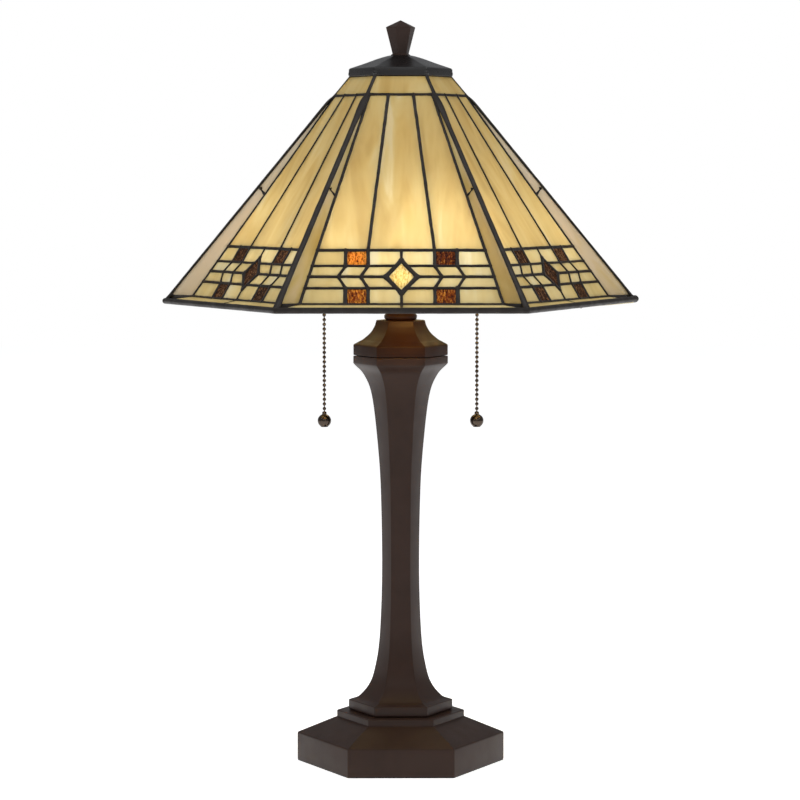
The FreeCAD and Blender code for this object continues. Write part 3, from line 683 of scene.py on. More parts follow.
def add_pane(shell, kind, corners, outward, down, distances, seed, keep, tone=0.0):
    """One pane: a rolled outer face with a soft edge, a flatter inner face, gridded so that it can wave.
    keep is (point, normal) pairs of planes; what lies beyond them is cut away."""
    grid, wave, sizes, uneven = SURFACES[kind]
    normal = outward_normal(corners, outward)
    down = (down - normal * down.dot(normal)).normalized()
    across = down.cross(normal)
    outline = drawn_in(corners, distances)
    soft = drawn_in(corners, [distance + PANE_EDGE for distance in distances])
    pane = bmesh.new()
    rings = [
        [point - normal * GLASS for point in soft],
        [point - normal * (GLASS - PANE_EDGE) for point in outline],
        [point - normal * PANE_EDGE for point in outline],
        soft,
    ]
    loops = [[pane.verts.new(point) for point in ring] for ring in rings]
    count = len(corners)
    for low, high in zip(loops, loops[1:]):
        for j in range(count):
            pane.faces.new((low[j], low[(j + 1) % count], high[(j + 1) % count], high[j]))
    pane.faces.new(tuple(reversed(loops[0])))
    pane.faces.new(tuple(loops[-1]))
    for point, beyond in keep:
        geom = pane.verts[:] + pane.edges[:] + pane.faces[:]
        cut = bmesh.ops.bisect_plane(pane, geom=geom, plane_co=point, plane_no=beyond, clear_outer=True)
        edges = [item for item in cut["geom_cut"] if isinstance(item, bmesh.types.BMEdge)]
        bmesh.ops.holes_fill(pane, edges=edges, sides=0)
    origin = sum(corners, Vector()) / count
    for axis in (across, down):
        reach = [(vert.co - origin).dot(axis) for vert in pane.verts]
        steps = max(1, math.ceil((max(reach) - min(reach)) / grid))
        for k in range(1, steps):
            place = origin + axis * (min(reach) + (max(reach) - min(reach)) * k / steps)
            geom = pane.verts[:] + pane.edges[:] + pane.faces[:]
            bmesh.ops.bisect_plane(pane, geom=geom, plane_co=place, plane_no=axis)
    pane.verts.index_update()
    offset = Vector((seed * 37.0, seed * 53.0, seed * 11.0))
    points = []
    for vert in pane.verts:
        x = (vert.co - origin).dot(across)
        y = (vert.co - origin).dot(down)
        depth = (vert.co - origin).dot(normal)
        shift = 0.0
        if depth > -0.01:
            shift = wave * noise.noise(Vector((x / sizes[0], y / sizes[1], seed * 3.7)))
        elif depth < 0.01 - GLASS:
            shift = 0.5 * wave * noise.noise(Vector((x / sizes[0], y / sizes[1], seed * 3.7 + 9)))
        points.append(vert.co + normal * shift)
        shell.grain.append(Vector((x, y, depth)) + offset)
        shell.tone.append(tone + uneven * wander(seed * 1.618, 4))
    shell.add(points, [tuple(vert.index for vert in face.verts) for face in pane.faces])
    pane.free()


def sector_planes(gap):
    """The two upright planes through the front face's ridges, a gap inside them."""
    planes = []
    for side in (1, -1):
        beyond = Vector((side * FLAT, 0.5, 0))
        planes.append((beyond * -gap, beyond))
    return planes


def front_face_glass(face):
    """The front face's panes by kind, with its own streaks for each of the six faces."""
    shells = {kind: Shell() for kind in ("field", "border", "amber", "diamond", "gusset", "lip")}
    seed = face * 101.0
    keep = sector_planes(FACE_GAP)
    head = [Vector((RIDGE_TOP / 2 * side, -RIDGE_TOP * FLAT, SHADE_TOP_Z)) for side in (-1, 1)]
    foot = [Vector((BAND_RADIUS / 2 * side, -BAND_RADIUS * FLAT, PANEL_HEAD.z)) for side in (1, -1)]
    gaps = [GAP, RIDGE_GAP, GAP, RIDGE_GAP]
    add_pane(shells["field"], "field", head + foot, FRONT, DOWN_PANEL, gaps, seed, keep)
    ambers = iter(AMBER_TONES)
    for number, (kind, corners) in enumerate(panel_cells()):
        gaps = [GAP] * len(corners)
        tone = 0.0
        if kind == "amber" and face == 0:
            tone = next(ambers)
        add_pane(shells[kind], kind, corners, FRONT, DOWN_PANEL, gaps, seed + 3 * number + 1, keep, tone)
    for side in (1, -1):
        top = ridge_edge(GUSSET_TOP_RADIUS, side)
        split = ridge_edge(GUSSET_SPLIT_RADIUS, side)
        bottom = ridge_edge(RIDGE_FOOT_RADIUS, side)
        top_t = (PANEL_HEAD.z - top.z) / (PANEL_HEAD.z - PANEL_FOOT_Z)
        inner_top = panel_edge(side, top_t)
        inner_split = panel_edge(side, GUSSET_SPLIT)
        inner_foot = panel_edge(side, 1)
        seed_here = seed + 80 + 5 * side
        tone = GUSSET_TONES[side] if face == 0 else GUSSET_TONES[0]
        down = bottom - top
        gaps = [0.1, GAP, GAP, GAP]
        upper = [top, split, inner_split, inner_top]
        lower = [split, bottom, inner_foot, inner_split]
        add_pane(shells["gusset"], "gusset", upper, FRONT, down, gaps, seed_here, keep, tone)
        add_pane(shells["gusset"], "gusset", lower, FRONT, down, gaps, seed_here + 2, keep, tone)
        rim_corner = corner_point(RIM_RADIUS, RIM_Z + LIP_RISE, side)
        rim_middle = Vector((0, -RIM_RADIUS * FLAT, RIM_Z + LIP_RISE))
        lip = [on_panel(0, 1), inner_foot, rim_corner, rim_middle]
        gaps = [GAP, 2 * GAP, 1.0, GAP]
        add_pane(shells["lip"], "gusset", lip, UP, Vector((1, 0, 0)), gaps, seed_here + 4, keep)
    return shells


def seam_highlight(width):
    """How strong the painted highlight on a lead line's crest is: wide lines catch more light than narrow
    ones.
    """
    return min(1.0, max(0.15, 0.15 + 0.6 * (width - 2.1)))


def swell(s, place, reach):
    """A soft rise to 1 at a place along a length, and back to 0."""
    return math.exp(-(((s - place) / reach) ** 2))


def add_seam(shell, start, end, normal, width, seed, lift=0.85):
    """One lead line: a solder bead outside and inside, joined by the web between the panes."""
    along = (end - start).normalized()
    side = along.cross(normal).normalized()
    length = (end - start).length
    steps = max(3, math.ceil(length / SEAM_STEP))
    web = side * (GAP + 0.05)
    inner = GLASS - 0.5
    rings = []
    for i in range(steps + 1):
        s = length * i / steps
        # It swells at both ends, where it meets its neighbours, and its width, path and height are uneven.
        ends = 1 + SEAM_SWELL * swell(min(s, length - s), 0, SEAM_SWELL_REACH)
        half = 0.5 * width * ends * (1 + 0.13 * wander(s / 4.5, seed))
        drift = 0.16 * wander(s / 9.0, seed + 50)
        height = lift * (1 + 0.15 * wander(s / 5.0, seed + 20))
        centre = start + along * s + side * drift
        outside = [
            centre + side * (half * math.cos(a)) + normal * (height * math.sin(a) - SEAM_SUNK)
            for a in SEAM_ARC
        ]
        inside = [
            centre + side * (half * math.cos(a)) - normal * (GLASS - SEAM_SUNK + height * math.sin(a))
            for a in reversed(SEAM_ARC)
        ]
        left_web = [centre - web - normal * 0.5, centre - web - normal * inner]
        right_web = [centre + web - normal * inner, centre + web - normal * 0.5]
        rings.append(outside + left_web + inside + right_web)
    highlight = seam_highlight(width)
    # The tone across the bead paints a highlight, strongest along its top.
    bead = [highlight * math.sin(a) ** 2 for a in SEAM_ARC]
    loft(shell, rings, tones=(bead + [0.0, 0.0]) * 2)


def panel_seams():
    """The panel's lead lines as (start, end, width), each end (across, fraction down)."""
    seams = [
        ((-edge_x(0) + 1, 0), (edge_x(0) - 1, 0), 2.7),
        ((-edge_x(LINE_1), LINE_1), (edge_x(LINE_1), LINE_1), 2.95),
        ((-edge_x(1), 1), (edge_x(1), 1), 3.5),
        ((0, LINE_1), (0, DIAMOND_TOP), 2.3),
        ((0, DIAMOND_FOOT), (0, 1), 2.5),
    ]
    for side in (1, -1):
        seams += [((side * a, t), (side * b, u), width) for a, t, b, u, width in (
            (DIVIDER_TOP, 0, SQUARE_NEAR, LINE_1, 2.8),
            (PANEL_HEAD_HALF, 0, PANEL_FOOT_HALF, 1, 3.5),
            (DIAMOND_AT_2, LINE_2, edge_x(LINE_2), LINE_2, 2.45),
            (DIAMOND_HALF_WIDTH, LINE_3, edge_x(LINE_3), LINE_3, 2.8),
            (DIAMOND_AT_4, LINE_4, edge_x(LINE_4), LINE_4, 2.65),
            (SQUARE_NEAR, LINE_1, SQUARE_NEAR, LINE_2, 2.8),
            (SQUARE_FAR, LINE_1, SQUARE_FAR, LINE_2, 3.1),
            (SQUARE_NEAR, LINE_4, SQUARE_NEAR, 1, 3.0),
            (SQUARE_FAR, LINE_4, SQUARE_FAR, 1, 3.6),
            (SQUARE_NEAR, LINE_2, NEAR_POINT, LINE_3, 2.7),
            (NEAR_POINT, LINE_3, SQUARE_NEAR, LINE_4, 2.7),
            (SQUARE_FAR, LINE_2, FAR_POINT, LINE_3, 2.5),
            (FAR_POINT, LINE_3, SQUARE_FAR, LINE_4, 2.5),
            (0, DIAMOND_TOP, DIAMOND_HALF_WIDTH, LINE_3, 3.9),
            (DIAMOND_HALF_WIDTH, LINE_3, 0, DIAMOND_FOOT, 4.1),
        )]
    return seams


def front_face_came(face):
    """The front face's lead lines, with a blob of solder at each of their joints, inside and outside."""
    shell = Shell()
    seed = face * 211.0
    joints = {}
    for number, (start, end, width) in enumerate(panel_seams()):
        add_seam(shell, on_panel(*start), on_panel(*end), PANEL_NORMAL, width, seed + number)
        for place in (start, end):
            joints[place] = max(width, joints.get(place, 0))
    for number, (place, width) in enumerate(joints.items()):
        across = width * (0.66 + 0.12 * wander(number * 1.3, seed))
        for level in (0.0, -GLASS):
            centre = on_panel(*place) + PANEL_NORMAL * level
            blob(shell, centre, PANEL_NORMAL, across, 1.05, highlight=seam_highlight(width))
    for side in (1, -1):
        split = ridge_point(GUSSET_SPLIT_RADIUS, side)
        inner_split = panel_edge(side, GUSSET_SPLIT)
        inner_foot = panel_edge(side, 1)
        foot = ridge_point(RIDGE_FOOT_RADIUS, side)
        rim_corner = corner_point(RIM_RADIUS, RIM_Z, side)
        gusset_normal = outward_normal([split, foot, inner_foot], FRONT)
        add_seam(shell, split, inner_split, gusset_normal, 2.3, seed + 60 + side)
        add_seam(shell, inner_foot, foot, gusset_normal, 2.6, seed + 64 + side)
        add_wedge(shell, [inner_foot, foot, rim_corner])
    rim_middle = Vector((0, -RIM_RADIUS * FLAT + 2.2, RIM_Z + LIP_RISE))
    lip_normal = outward_normal([on_panel(0, 1), on_panel(5, 1), rim_middle], UP)
    add_seam(shell, on_panel(0, 1), rim_middle, lip_normal, 2.6, seed + 70, 0.6)
    return shell


def add_wedge(shell, corners):
    """The solder that fills the three-cornered gap between a ridge's foot and the rim's corner."""
    normal = outward_normal(corners, FRONT)
    middle = sum(corners, Vector()) / 3
    rings = []
    for scale, level in ((1.0, -1.8), (1.05, -0.9), (1.05, 0.1), (0.9, 0.7), (0.45, 1.0)):
        rings.append([middle + (corner - middle) * scale + normal * level for corner in corners])
    # The tone paints a faint highlight on the wedge.
    loft(shell, rings, tones=[0.3] * 3)


def ridge_bead(number):
    """The flat strip of solder along one ridge: close to the glass beside the top band, then a step out with
    a lump under it, then wider towards the foot, where it spreads and flares out to the rim's corner."""
    top = ridge_point(RIDGE_TOP - 0.6)
    foot = ridge_point(RIDGE_FOOT_RADIUS)
    corner = corner_point(RIM_RADIUS - 1.0, RIM_Z + 0.8)
    out_level = Vector((0.5, -FLAT, 0))
    side = out_level.cross(UP).normalized()
    straight = (foot - top).length
    flare = (corner - foot).length
    band = (ridge_point(BAND_RADIUS) - top).length
    along_ridge = (foot - top).normalized()
    along_flare = (corner - foot).normalized()
    broad = RIDGE_BREADTHS[number]
    steps = 170
    rings = []
    for i in range(steps + 1):
        s = (straight + flare) * i / steps
        turn = 1 / (1 + math.exp(-(s - straight) / 1.2))
        along = along_ridge.lerp(along_flare, turn).normalized()
        centre = top + along_ridge * min(s, straight) + along_flare * max(0, s - straight)
        out = side.cross(along).normalized()
        out = out if out.dot(out_level) > 0 else -out
        stepped = 1 / (1 + math.exp(-(s - band - 3.0) / 1.6))
        lump = 0.95 * swell(s, band + 14.0, 13.0)
        spread = 0.4 * max(0, s - band) / straight + 0.5 * swell(s, straight, 14.0)
        width = 1.65 + 0.35 * stepped + lump + spread
        width *= (1 + (broad - 1) * stepped) * (1 + 0.05 * wander(s / 10.0, number + 300))
        high = 0.35 + stepped * (1.55 - 0.45 * s / straight) + 0.12 * wander(s / 12.0, number + 310)
        deep_at_rim = 1.6 * swell(s, straight + flare, 8.0)
        low = -1.0 + stepped * 0.2 - deep_at_rim
        centre = centre + side * (0.22 * wander(s / 18.0, number + 320))
        rings.append([
            centre + side * (width * x) + out * (low + (high - low) * y)
            for x, y in STRIP_SECTION
        ])
    shell = Shell()
    # The tone paints a highlight, lighter towards the bead's high side.
    loft(shell, rings, tones=[0.35 + 0.65 * y for x, y in STRIP_SECTION])
    return shell


def rim_bead():
    """The hexagonal rim: one round bead, with a lump of solder on each corner."""
    shell = Shell()
    rings = []
    per_side = 60
    around = 14
    side_length = 200.0  # nearly a side's length, for the noise along the bead
    tucked = RIM_RADIUS - RIM_TUCK
    for corner in range(SIDES):
        a = heading(60 * corner) * tucked
        b = heading(60 * (corner + 1)) * tucked
        for k in range(per_side):
            t = k / per_side
            lift = CORNER_LIFT * ((1 - t) * (corner == 0) + t * (corner == SIDES - 1))
            centre = a.lerp(b, t) + UP * (RIM_Z + lift)
            out = heading(60 * corner if k == 0 else 60 * corner + 30)
            stretch = 1.08 if k == 0 else 1.0
            s = corner * side_length + side_length * t
            radius = RIM_BEAD * (1 + 0.03 * wander(s / 7.0, 5))
            rings.append([
                centre + out * (radius * stretch * math.cos(angle)) + UP * (radius * math.sin(angle))
                for angle in full_turn(around)
            ])
    # The tone paints a highlight all along the bead, as on the corner lumps below.
    loft(shell, rings, closed=True, tones=[0.8] * around)
    for corner in range(SIDES):
        out = heading(60 * corner)
        if corner == 0:
            blob(shell, out * (RIM_RADIUS - 1.5) + UP * (RIM_Z + CORNER_LIFT), UP, 3.5, 3.3, 20, highlight=0.8)
        else:
            blob(shell, out * (RIM_RADIUS - 3.2) + UP * (RIM_Z + 0.2), UP, 4.6, 2.6, 16, highlight=0.8)
    return shell


def make_shade():
    for face in range(SIDES):
        turn = 60 * face
        label = "face_%d_" % (face + 1)
        glass = front_face_glass(face)
        for kind, material, node in (
            ("field", FIELD, "field"),
            ("border", BORDER, "border"),
            # Squares and diamonds: the lit amber and champagne copies on the front and back faces, the
            # painted-shade copy on the other four.
            ("amber", SHADED_AMBER if face % 3 else AMBER, "amber"),
            ("diamond", SHADED_AMBER if face % 3 else CHAMPAGNE, "amber"),
            ("gusset", GUSSET, "gusset"),
            ("lip", BORDER, "gusset"),
        ):
            make_piece(label + kind + "_panes", spun(glass[kind], turn), material, "shade",
                       [label + node + "_glass"], sharp=50)
        came = spun(front_face_came(face), turn)
        make_piece(label + "solder_lines", came, CAME, "shade", ["face_cames"])
        ridge = spun(ridge_bead(face), turn)
        make_piece("ridge_%d_bead" % (face + 1), ridge, CAME, "shade", ["ridge_cames"])
    make_piece("rim_bead", rim_bead(), CAME, "shade", ["rim_came"])
    ring = Shell()
    outline = [(RIDGE_TOP - 2.6, SHADE_TOP_Z - 3.0), (RIDGE_TOP - 0.6, SHADE_TOP_Z - 1.0),
               (RIDGE_TOP - 0.2, SHADE_TOP_Z + 0.3), (RIDGE_TOP - 2.6, SHADE_TOP_Z + 0.3)]
    rings = [hexagon_ring(radius, z, 1.0) for radius, z in outline]
    # The tone paints a faint highlight on the ring.
    loft(ring, rings, closed=True, tones=[0.4] * len(rings[0]))
    make_piece("shade_top_ring", ring, CAME, "shade", ["ridge_cames"])


def make_cap():
    """The shade's hexagonal cap, a thin dome with an upright band, and the solder lumps at its corners."""
    outer = [(CAP_RADIUS - 0.6, CAP_Z, 0), (CAP_RADIUS, CAP_Z + 0.4, 0.4), (CAP_RADIUS, CAP_BAND_Z, 1.6),
             (40.5, 608.6, 2.5), (30.5, 611.9, 5.0), (20.6, 615.6, 5.0), (13.5, 617.7, 2.0),
             (9.6, CAP_CROWN_Z, 1.0), (6.0, CAP_CROWN_Z, 0)]
    inner = [(6.0, CAP_CROWN_Z - 1.2, 0), (12.0, 616.0, 0), (30.5, 609.6, 0), (39.5, 606.8, 1.0),
             (43.4, 604.6, 1.0), (43.4, CAP_Z, 0)]
    shell = hexagonal(filleted(outer) + filleted(inner), 2.2)
    for corner in range(SIDES):
        out = heading(60 * corner)
        blob(shell, out * (CAP_RADIUS - 1.9) + UP * (CAP_Z + 2.4), out, 2.6, 2.0, 12)
    make_piece("cap_dome", shell, CAP, "shade", ["shade_cap"])


def make_finial():
    outline = [(5.0, CAP_CROWN_Z, 0), (8.9, CAP_CROWN_Z, 0.3), (8.6, CAP_CROWN_Z + 0.5, 0.3),
               (7.2, CAP_CROWN_Z + 1.3, 0.5), (13.1, 642.8, 0.6), (0.4, FINIAL_TOP_Z - 0.05, 0)]
    shell = hexagonal(filleted(outline), 0.5, FINIAL_TURN)
    make_piece("finial_casting", shell, BRONZE, "finial", ["finial"], sharp=25)


# Stand


def make_stand_piece(name, shell, node, material=BRONZE, sharp=40):
    make_piece(name, shell, material, "stand", [node], sharp)


def make_base():
    outline = [(20.0, FELT, 0), (BASE_RADIUS - 0.4, FELT, 0.2), (BASE_RADIUS, FELT + 0.4, 0.3),
               (BASE_RADIUS, BASE_SLAB_Z, 1.3), (BASE_PLINTH_RADIUS + 2.1, 38.5, 0.8),
               (BASE_PLINTH_RADIUS, 39.2, 0.5), (BASE_PLINTH_RADIUS, BASE_TOP_Z, 1.1), (30.0, BASE_TOP_Z, 0)]
    make_stand_piece("base_body", hexagonal(filleted(outline), 1.3), "base_casting", sharp=25)


def make_column():
    plinth = filleted([(30.0, BASE_TOP_Z + 0.3, 0), (FOOT_RADIUS - 0.8, BASE_TOP_Z + 0.3, 0.2),
                       (FOOT_RADIUS, BASE_TOP_Z + 1.2, 0.4), (FOOT_RADIUS, FOOT_Z, 0.9),
                       (43.9, FOOT_Z + 0.15, 0)])
    shaft = smooth_curve([(43.9, FOOT_Z + 0.15), (37.0, 57.3), (27.9, 67.9), (22.9, 82.1), (18.6, 110.6),
                          (16.5, 168.0), (17.5, 238.2), (20.2, 280.5), (25.2, 322.6), (32.1, 341.0),
                          (CAPITAL_RADIUS - 0.7, 350.5)])
    top = filleted([(CAPITAL_RADIUS - 0.7, 350.5, 0), (CAPITAL_RADIUS, 351.4, 0.7),
                    (CAPITAL_RADIUS, SEAM_Z - 0.3, 0.5), (CAPITAL_RADIUS - 1.0, SEAM_Z - 0.3, 0)])
    shell = hexagonal(plinth[:-1] + shaft + top[1:], 1.1)
    make_stand_piece("column_body", shell, "column_casting", sharp=25)


def make_post_cap():
    skirt = filleted([(CAPITAL_RADIUS - 1.3, SEAM_Z + 0.2, 0), (CAPITAL_RADIUS - 0.1, SEAM_Z + 0.5, 0.3),
                      (CAPITAL_RADIUS - 0.1, 367.3, 0.7), (40.6, 368.1, 0)])
    cove = smooth_curve([(40.6, 368.1), (36.0, 370.6), (32.5, 372.6), (26.6, 377.8), (23.2, 383.1),
                         (21.9, 386.6)])
    top = filleted([(21.9, 386.6, 0), (21.4, POST_TOP_Z - 0.05, 1.2), (10.0, POST_TOP_Z - 0.05, 0)])
    shell = hexagonal(skirt[:-1] + cove + top[1:], 1.1)
    # The post cap takes the bronze copy with painted shade.
    make_stand_piece("post_cap_body", shell, "post_cap", SHADED_BRONZE, sharp=25)


def make_neck():
    outline = [(5.4, POST_TOP_Z, 0), (13.0, POST_TOP_Z, 0.4), (14.35, POST_TOP_Z + 1.6, 1.0),
               (14.35, 393.4, 1.0), (13.1, 394.4, 0.4), (13.1, NECK_TOP_Z, 0.3), (5.4, NECK_TOP_Z, 0)]
    # The neck takes the bronze copy with painted shade.
    make_stand_piece("neck_turning", turning(filleted(outline), steps=64), "neck_ring", SHADED_BRONZE)


def make_cluster():
    outline = [(5.2, NECK_TOP_Z, 0), (13.0, NECK_TOP_Z, 0.4), (CLUSTER_RADIUS - 0.2, 401.0, 2.0),
               (CLUSTER_RADIUS, 403.0, 0.4), (CLUSTER_RADIUS - 0.6, 404.0, 0.4),
               (CLUSTER_RADIUS - 0.6, 411.0, 0.4), (CLUSTER_RADIUS, 412.0, 0.4),
               (CLUSTER_RADIUS, CLUSTER_TOP_Z - 0.1, 0.5), (5.2, CLUSTER_TOP_Z - 0.1, 0)]
    make_stand_piece("cluster_turning", turning(filleted(outline), steps=56), "cluster_body")
    dome = [(5.0, CLUSTER_TOP_Z, 0), (CLUSTER_RADIUS - 0.1, CLUSTER_TOP_Z, 0.3),
            (CLUSTER_RADIUS - 1, CLUSTER_TOP_Z + 1.6, 1.0), (8.0, COVER_TOP_Z, 1.0), (5.0, COVER_TOP_Z, 0)]
    make_stand_piece("cluster_lid", turning(filleted(dome), steps=56), "cluster_cover")


def socket_shell():
    """The socket's shell with rolled beads, and the elbow spout that guides its pull."""
    wall = SHELL - 0.5
    bead = SHELL - 0.05
    low = SHELL_Z + 8.5
    high = SHELL_TOP_Z - 4.0
    outer = [(wall, SHELL_Z, 0), (bead, SHELL_Z + 0.6, 0.3), (wall, SHELL_Z + 3.0, 0.6),
             (wall, low, 0.4), (bead, low + 1.0, 0.5), (wall, low + 2.0, 0.4),
             (wall, high, 0.4), (bead, high + 1.0, 0.5), (wall, high + 2.0, 0.4),
             (SHELL - 0.3, SHELL_TOP_Z, 0.3), (SHELL - 1.0, SHELL_TOP_Z, 0.2), (SHELL - 1.0, SHELL_Z, 0)]
    shell = turning(filleted(outer), SOCKET_X, 48)
    neck_path = [Vector((SOCKET_X + SHELL - 1.4 + 3.0 * k, 0, SPOUT_Z)) for k in range(5)]
    neck = tube(neck_path, [3.8, 3.2, 3.0, 3.0, 3.1], 20)
    shell.add(neck.points, neck.faces)
    spout = [(2.4, 421.2, 0), (5.6, 421.0, 0.4), (4.9, 422.6, 0.8), (4.2, 424.5, 0.6), (4.3, 431.5, 1.2),
             (2.4, 433.6, 0.6), (2.3, 432.0, 0), (2.3, 421.6, 0)]
    turned(shell, filleted(spout), CHAIN_X, 28, closed=True)
    return shell


def bulb_envelope():
    meet = math.sqrt(BULB**2 - (BULB_NECK + 2.0) ** 2)
    knots = [(BULB_NECK - 0.3, BULB_NECK_Z), (BULB_NECK, 458.5), (BULB_NECK + 2.0, BULB_Z - meet)]
    neck = smooth_curve(knots, 4)
    start = math.asin(-meet / BULB)
    steps = 22
    ball = []
    for k in range(1, steps):
        angle = start + (math.pi / 2 - start) * k / steps
        ball.append(Vector((BULB * math.cos(angle), BULB_Z + BULB * math.sin(angle))))
    return turning(neck + ball, SOCKET_X, 48)


def bulb_cap():
    """The bulb's screw cap: rolled threads over an insulating button."""
    outline = [(3.6, 438.8, 0), (4.4, 439.2, 0.3), (4.6, 440.0, 0.3), (10.8, 442.1, 0.4), (12.2, 443.2, 0.4)]
    for k in range(THREADS):
        z = 444.6 + THREAD_PITCH * k
        outline += [(12.85, z, 0.5), (12.1, z + THREAD_PITCH / 2, 0.5)]
    outline += [(12.9, 455.2, 0.3), (11.0, 455.4, 0)]
    return turning(filleted(outline), SOCKET_X)


def make_sockets():
    for side, flip in (("right", False), ("left", True)):
        for label, shell, material, body, slot in (
            ("socket_shell", socket_shell(), BRONZE, "stand", "bronze_paint"),
            ("bulb_glass", bulb_envelope(), BULB_GLASS, side + "_bulb", "bulb_glass"),
            ("bulb_base", bulb_cap(), BULB_CAP, side + "_bulb", "bulb_cap"),
        ):
            shape = mirrored(shell) if flip else shell
            make_piece(side + "_" + label + "_piece", shape, material, body, [side + "_" + label])


def make_chains():
    """On each side, a chain of beads on a wire, and the ball pendant that it ends in."""
    first = CHAIN_PIVOT_Z - 0.3 - BEAD
    ball_top = PENDANT_Z + PENDANT
    neck_top = ball_top + 2.5
    count = int((first - BEAD - neck_top) / BEAD_PITCH) + 1
    for side, sign in (("right", 1), ("left", -1)):
        x = sign * CHAIN_X
        beads = Shell()
        for k in range(count):
            z = first - BEAD_PITCH * k
            angles = [math.radians(-80 + 160 * step / 10) for step in range(11)]
            turned(beads, [(BEAD * math.cos(a), z + BEAD * math.sin(a)) for a in angles], x, 16)
        turned(beads, [(BEAD_LINK, neck_top - 0.5), (BEAD_LINK, first)], x, 10)
        outline = [(3.2, PENDANT_Z - PENDANT + 0.6, 0)]
        for step in range(1, 18):
            angle = math.radians(-62 + 138 * step / 18)
            outline.append((PENDANT * math.cos(angle), PENDANT_Z + PENDANT * math.sin(angle), 0))
        outline += [(1.9, ball_top - 0.1, 0), (2.1, ball_top + 0.7, 0.3), (1.7, ball_top + 1.9, 0.4),
                    (0.9, neck_top - 0.2, 0)]
        pendant = turning(filleted(outline), x, 36)
        chain = side + "_chain"
        node = side + "_bead_chain"
        make_piece(side + "_beads", beads, CHAIN, chain, [node], sharp=60)
        make_piece(side + "_ball_pendant", pendant, CHAIN, chain, [node])


def finish_cad_nodes():
    """Materials for the CAD nodes that stay as they are."""
    for names, material in (
        (("cluster_arms", "socket_caps"), BRONZE),
        (("shade_rest", "screw_shells", "centre_contacts", "cap_spider"), BRASS),
        (("riser_rod", "tie_rod", "base_nut"), STEEL),
        (("base_weight",), IRON),
        (("base_felt",), FELT_CLOTH),
        (("cord_grommet",), RUBBER),
        (("socket_interiors",), PHENOLIC),
        (("left_pull_lever", "right_pull_lever", "left_chain_connector", "right_chain_connector"), CHAIN),
    ):
        for name in names:
            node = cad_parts[name]
            node.data.materials.clear()
            node.data.materials.append(material)


# Studio. Its lengths are in metres, except where a comment says millimetres.

CAMERA_PLACE = (-0.012, -2.5297, 0.5196)
CAMERA_LENS = 130.5
CAMERA_TILT = 4.535
CAMERA_TURN = -0.260
FLOOR_HALF = 6.0
FLOOR_Z = -0.0002  # just below the felt, so that the two don't coincide
FLOOR_GLOW = 0.72
ROOM_COLOUR = (0.95, 0.97, 1.0, 1)
ROOM_LIGHT = 0.30
STUDIO_AIM = (0, 0, 0.35)
SOFTBOXES = (  # name, place and size in metres, power in watts
    ("left", (-1.5, -0.8, 2.4), (1.2, 1.4), 16),
    ("right", (1.5, -0.8, 2.4), (1.2, 1.4), 21),
    ("front", (0, -2.6, 1.6), (2.4, 1.2), 8),
    ("top", (-0.3, -0.5, 2.4), (1.6, 1.2), 6),
)
GLOW_LINE = 0.69  # the glow lights' place down the panel's slope, and their distance in millimetres behind it
GLOW_GAP = 72.0
GLOW_SIZE = (0.10, 0.05)
GLOW_SPREAD = 100.0
GLOW_POWERS = (0.25, 0.15, 0.14, 0.25, 0.14, 0.14)  # by face, from the front one, chosen for the look
GLOW_COLOUR = (0.98, 0.96, 1.0)
SPILL_PLACE = (16.0, -110.0, 425.0)  # the spill light and the point it is aimed at, in millimetres
SPILL_AIM = (4.0, -24.0, 376.0)
SPILL_SIZE = (0.03, 0.03)
SPILL_SPREAD = 40.0
SPILL_POWER = 0.009
SPILL_COLOUR = (1.0, 0.5, 0.1)


def make_floor():
    mesh = bpy.data.meshes.new("studio_floor")
    size = FLOOR_HALF
    corners = [(-size, -size, FLOOR_Z), (size, -size, FLOOR_Z), (size, size, FLOOR_Z), (-size, size, FLOOR_Z)]
    mesh.from_pydata([Vector(corner) for corner in corners], [], [(0, 1, 2, 3)])
    graph = new_material("pale_floor")
    stops = [(0.3, (0.9, 0.9, 0.9, 1)), (0.7, (0.93, 0.93, 0.93, 1))]
    tint = graph.ramp(graph.spots(graph.place(), 3.0), stops)
    matt = graph.add("BsdfDiffuse", {"Color": tint})
    glow = graph.add("Emission", {"Color": (1, 1, 1, 1), "Strength": FLOOR_GLOW})
    mesh.materials.append(graph.finish(graph.add("AddShader", {0: matt, 1: glow})))
    floor = add_object("studio_floor", mesh)


def area_light(name, place, rotation, size, power, colour=(1.0, 1.0, 1.0), spread=180.0, unseen=()):
    """A rectangular light. Rays of the unseen kinds pass it by."""
    light = bpy.data.lights.new(name, "AREA")
    light.shape = "RECTANGLE"
    light.size, light.size_y = size
    light.energy = power
    light.color = colour
    light.spread = math.radians(spread)
    lamp = add_object(name, light)
    lamp.location = place
    lamp.rotation_mode = "QUATERNION"
    lamp.rotation_quaternion = rotation
    for rays in unseen:
        setattr(lamp, "visible_" + rays, False)


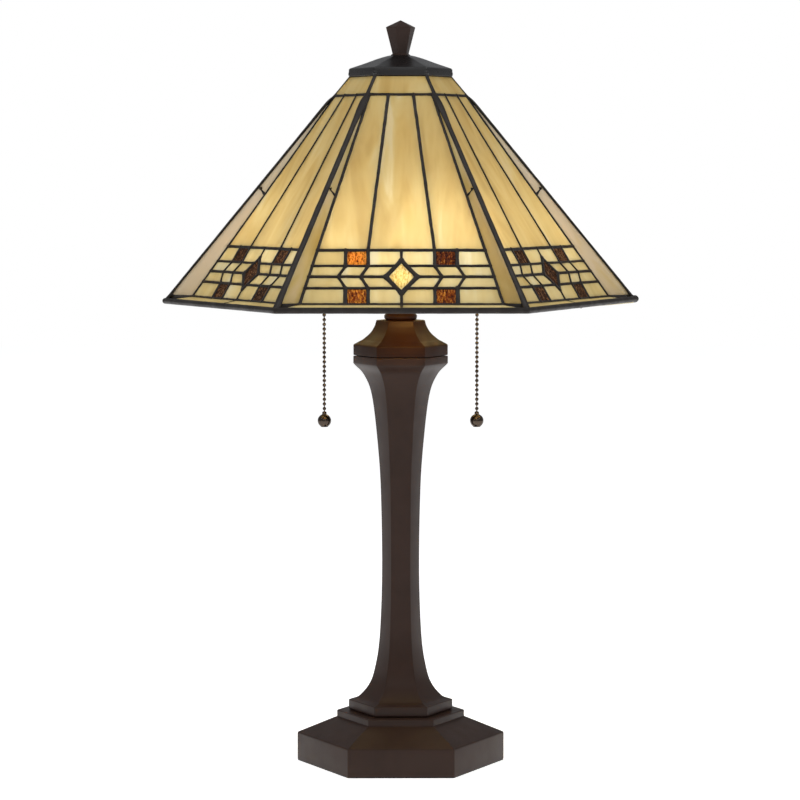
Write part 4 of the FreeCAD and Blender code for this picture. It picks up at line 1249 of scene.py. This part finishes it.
def make_studio():
    """White all round for the camera, a dimmer grey for the light, and four softboxes."""
    graph = Graph(bpy.data.worlds.new("studio"))
    seen = graph.add("Background", {"Color": (1, 1, 1, 1)})
    room = graph.add("Background", {"Color": ROOM_COLOUR, "Strength": ROOM_LIGHT})
    by_camera = graph.add("LightPath", output="Is Camera Ray")
    choose = graph.add("MixShader", {0: by_camera, 1: room, 2: seen})
    bpy.context.scene.world = graph.finish(choose, "World")
    for name, place, size, power in SOFTBOXES:
        rotation = (Vector(STUDIO_AIM) - Vector(place)).to_track_quat("-Z", "Y")
        area_light(name + "_softbox", place, rotation, size, power)


def make_glow():
    """Hidden lights inside the shade, one behind each face, that add to the light of the bulbs."""
    for face in range(SIDES):
        turn = Quaternion(UP, math.radians(60 * face))
        place = turn @ (on_panel(0, GLOW_LINE) - PANEL_NORMAL * GLOW_GAP) * MM
        rotation = turn @ PANEL_NORMAL.to_track_quat("-Z", "Y")
        area_light("glow_%d" % (face + 1), place, rotation, GLOW_SIZE, GLOW_POWERS[face], GLOW_COLOUR,
                   GLOW_SPREAD, ("camera", "glossy", "transmission"))


def make_spill():
    """A small amber light inside the front of the shade, aimed at the post cap to give it a golden sheen."""
    aim = (Vector(SPILL_AIM) - Vector(SPILL_PLACE)).normalized()
    area_light("spill", Vector(SPILL_PLACE) * MM, aim.to_track_quat("-Z", "Y"), SPILL_SIZE, SPILL_POWER,
               SPILL_COLOUR, SPILL_SPREAD, ("camera", "transmission"))


def make_camera():
    """A long lens at the height of the shade, tipped down a little."""
    lens = bpy.data.cameras.new("camera")
    lens.sensor_width = 36.0
    lens.lens = CAMERA_LENS
    lens.clip_start = 0.05
    lens.clip_end = 50.0
    camera = add_object("camera", lens)
    camera.location = CAMERA_PLACE
    camera.rotation_euler = (math.radians(90 - CAMERA_TILT), 0, math.radians(CAMERA_TURN))
    bpy.context.scene.camera = camera


make_camera()
make_studio()
make_glow()
make_spill()
make_floor()
make_shade()
make_cap()
make_finial()
make_base()
make_column()
make_post_cap()
make_neck()
make_cluster()
make_sockets()
make_chains()
finish_cad_nodes()
bpy.context.scene.view_settings.view_transform = "Standard"
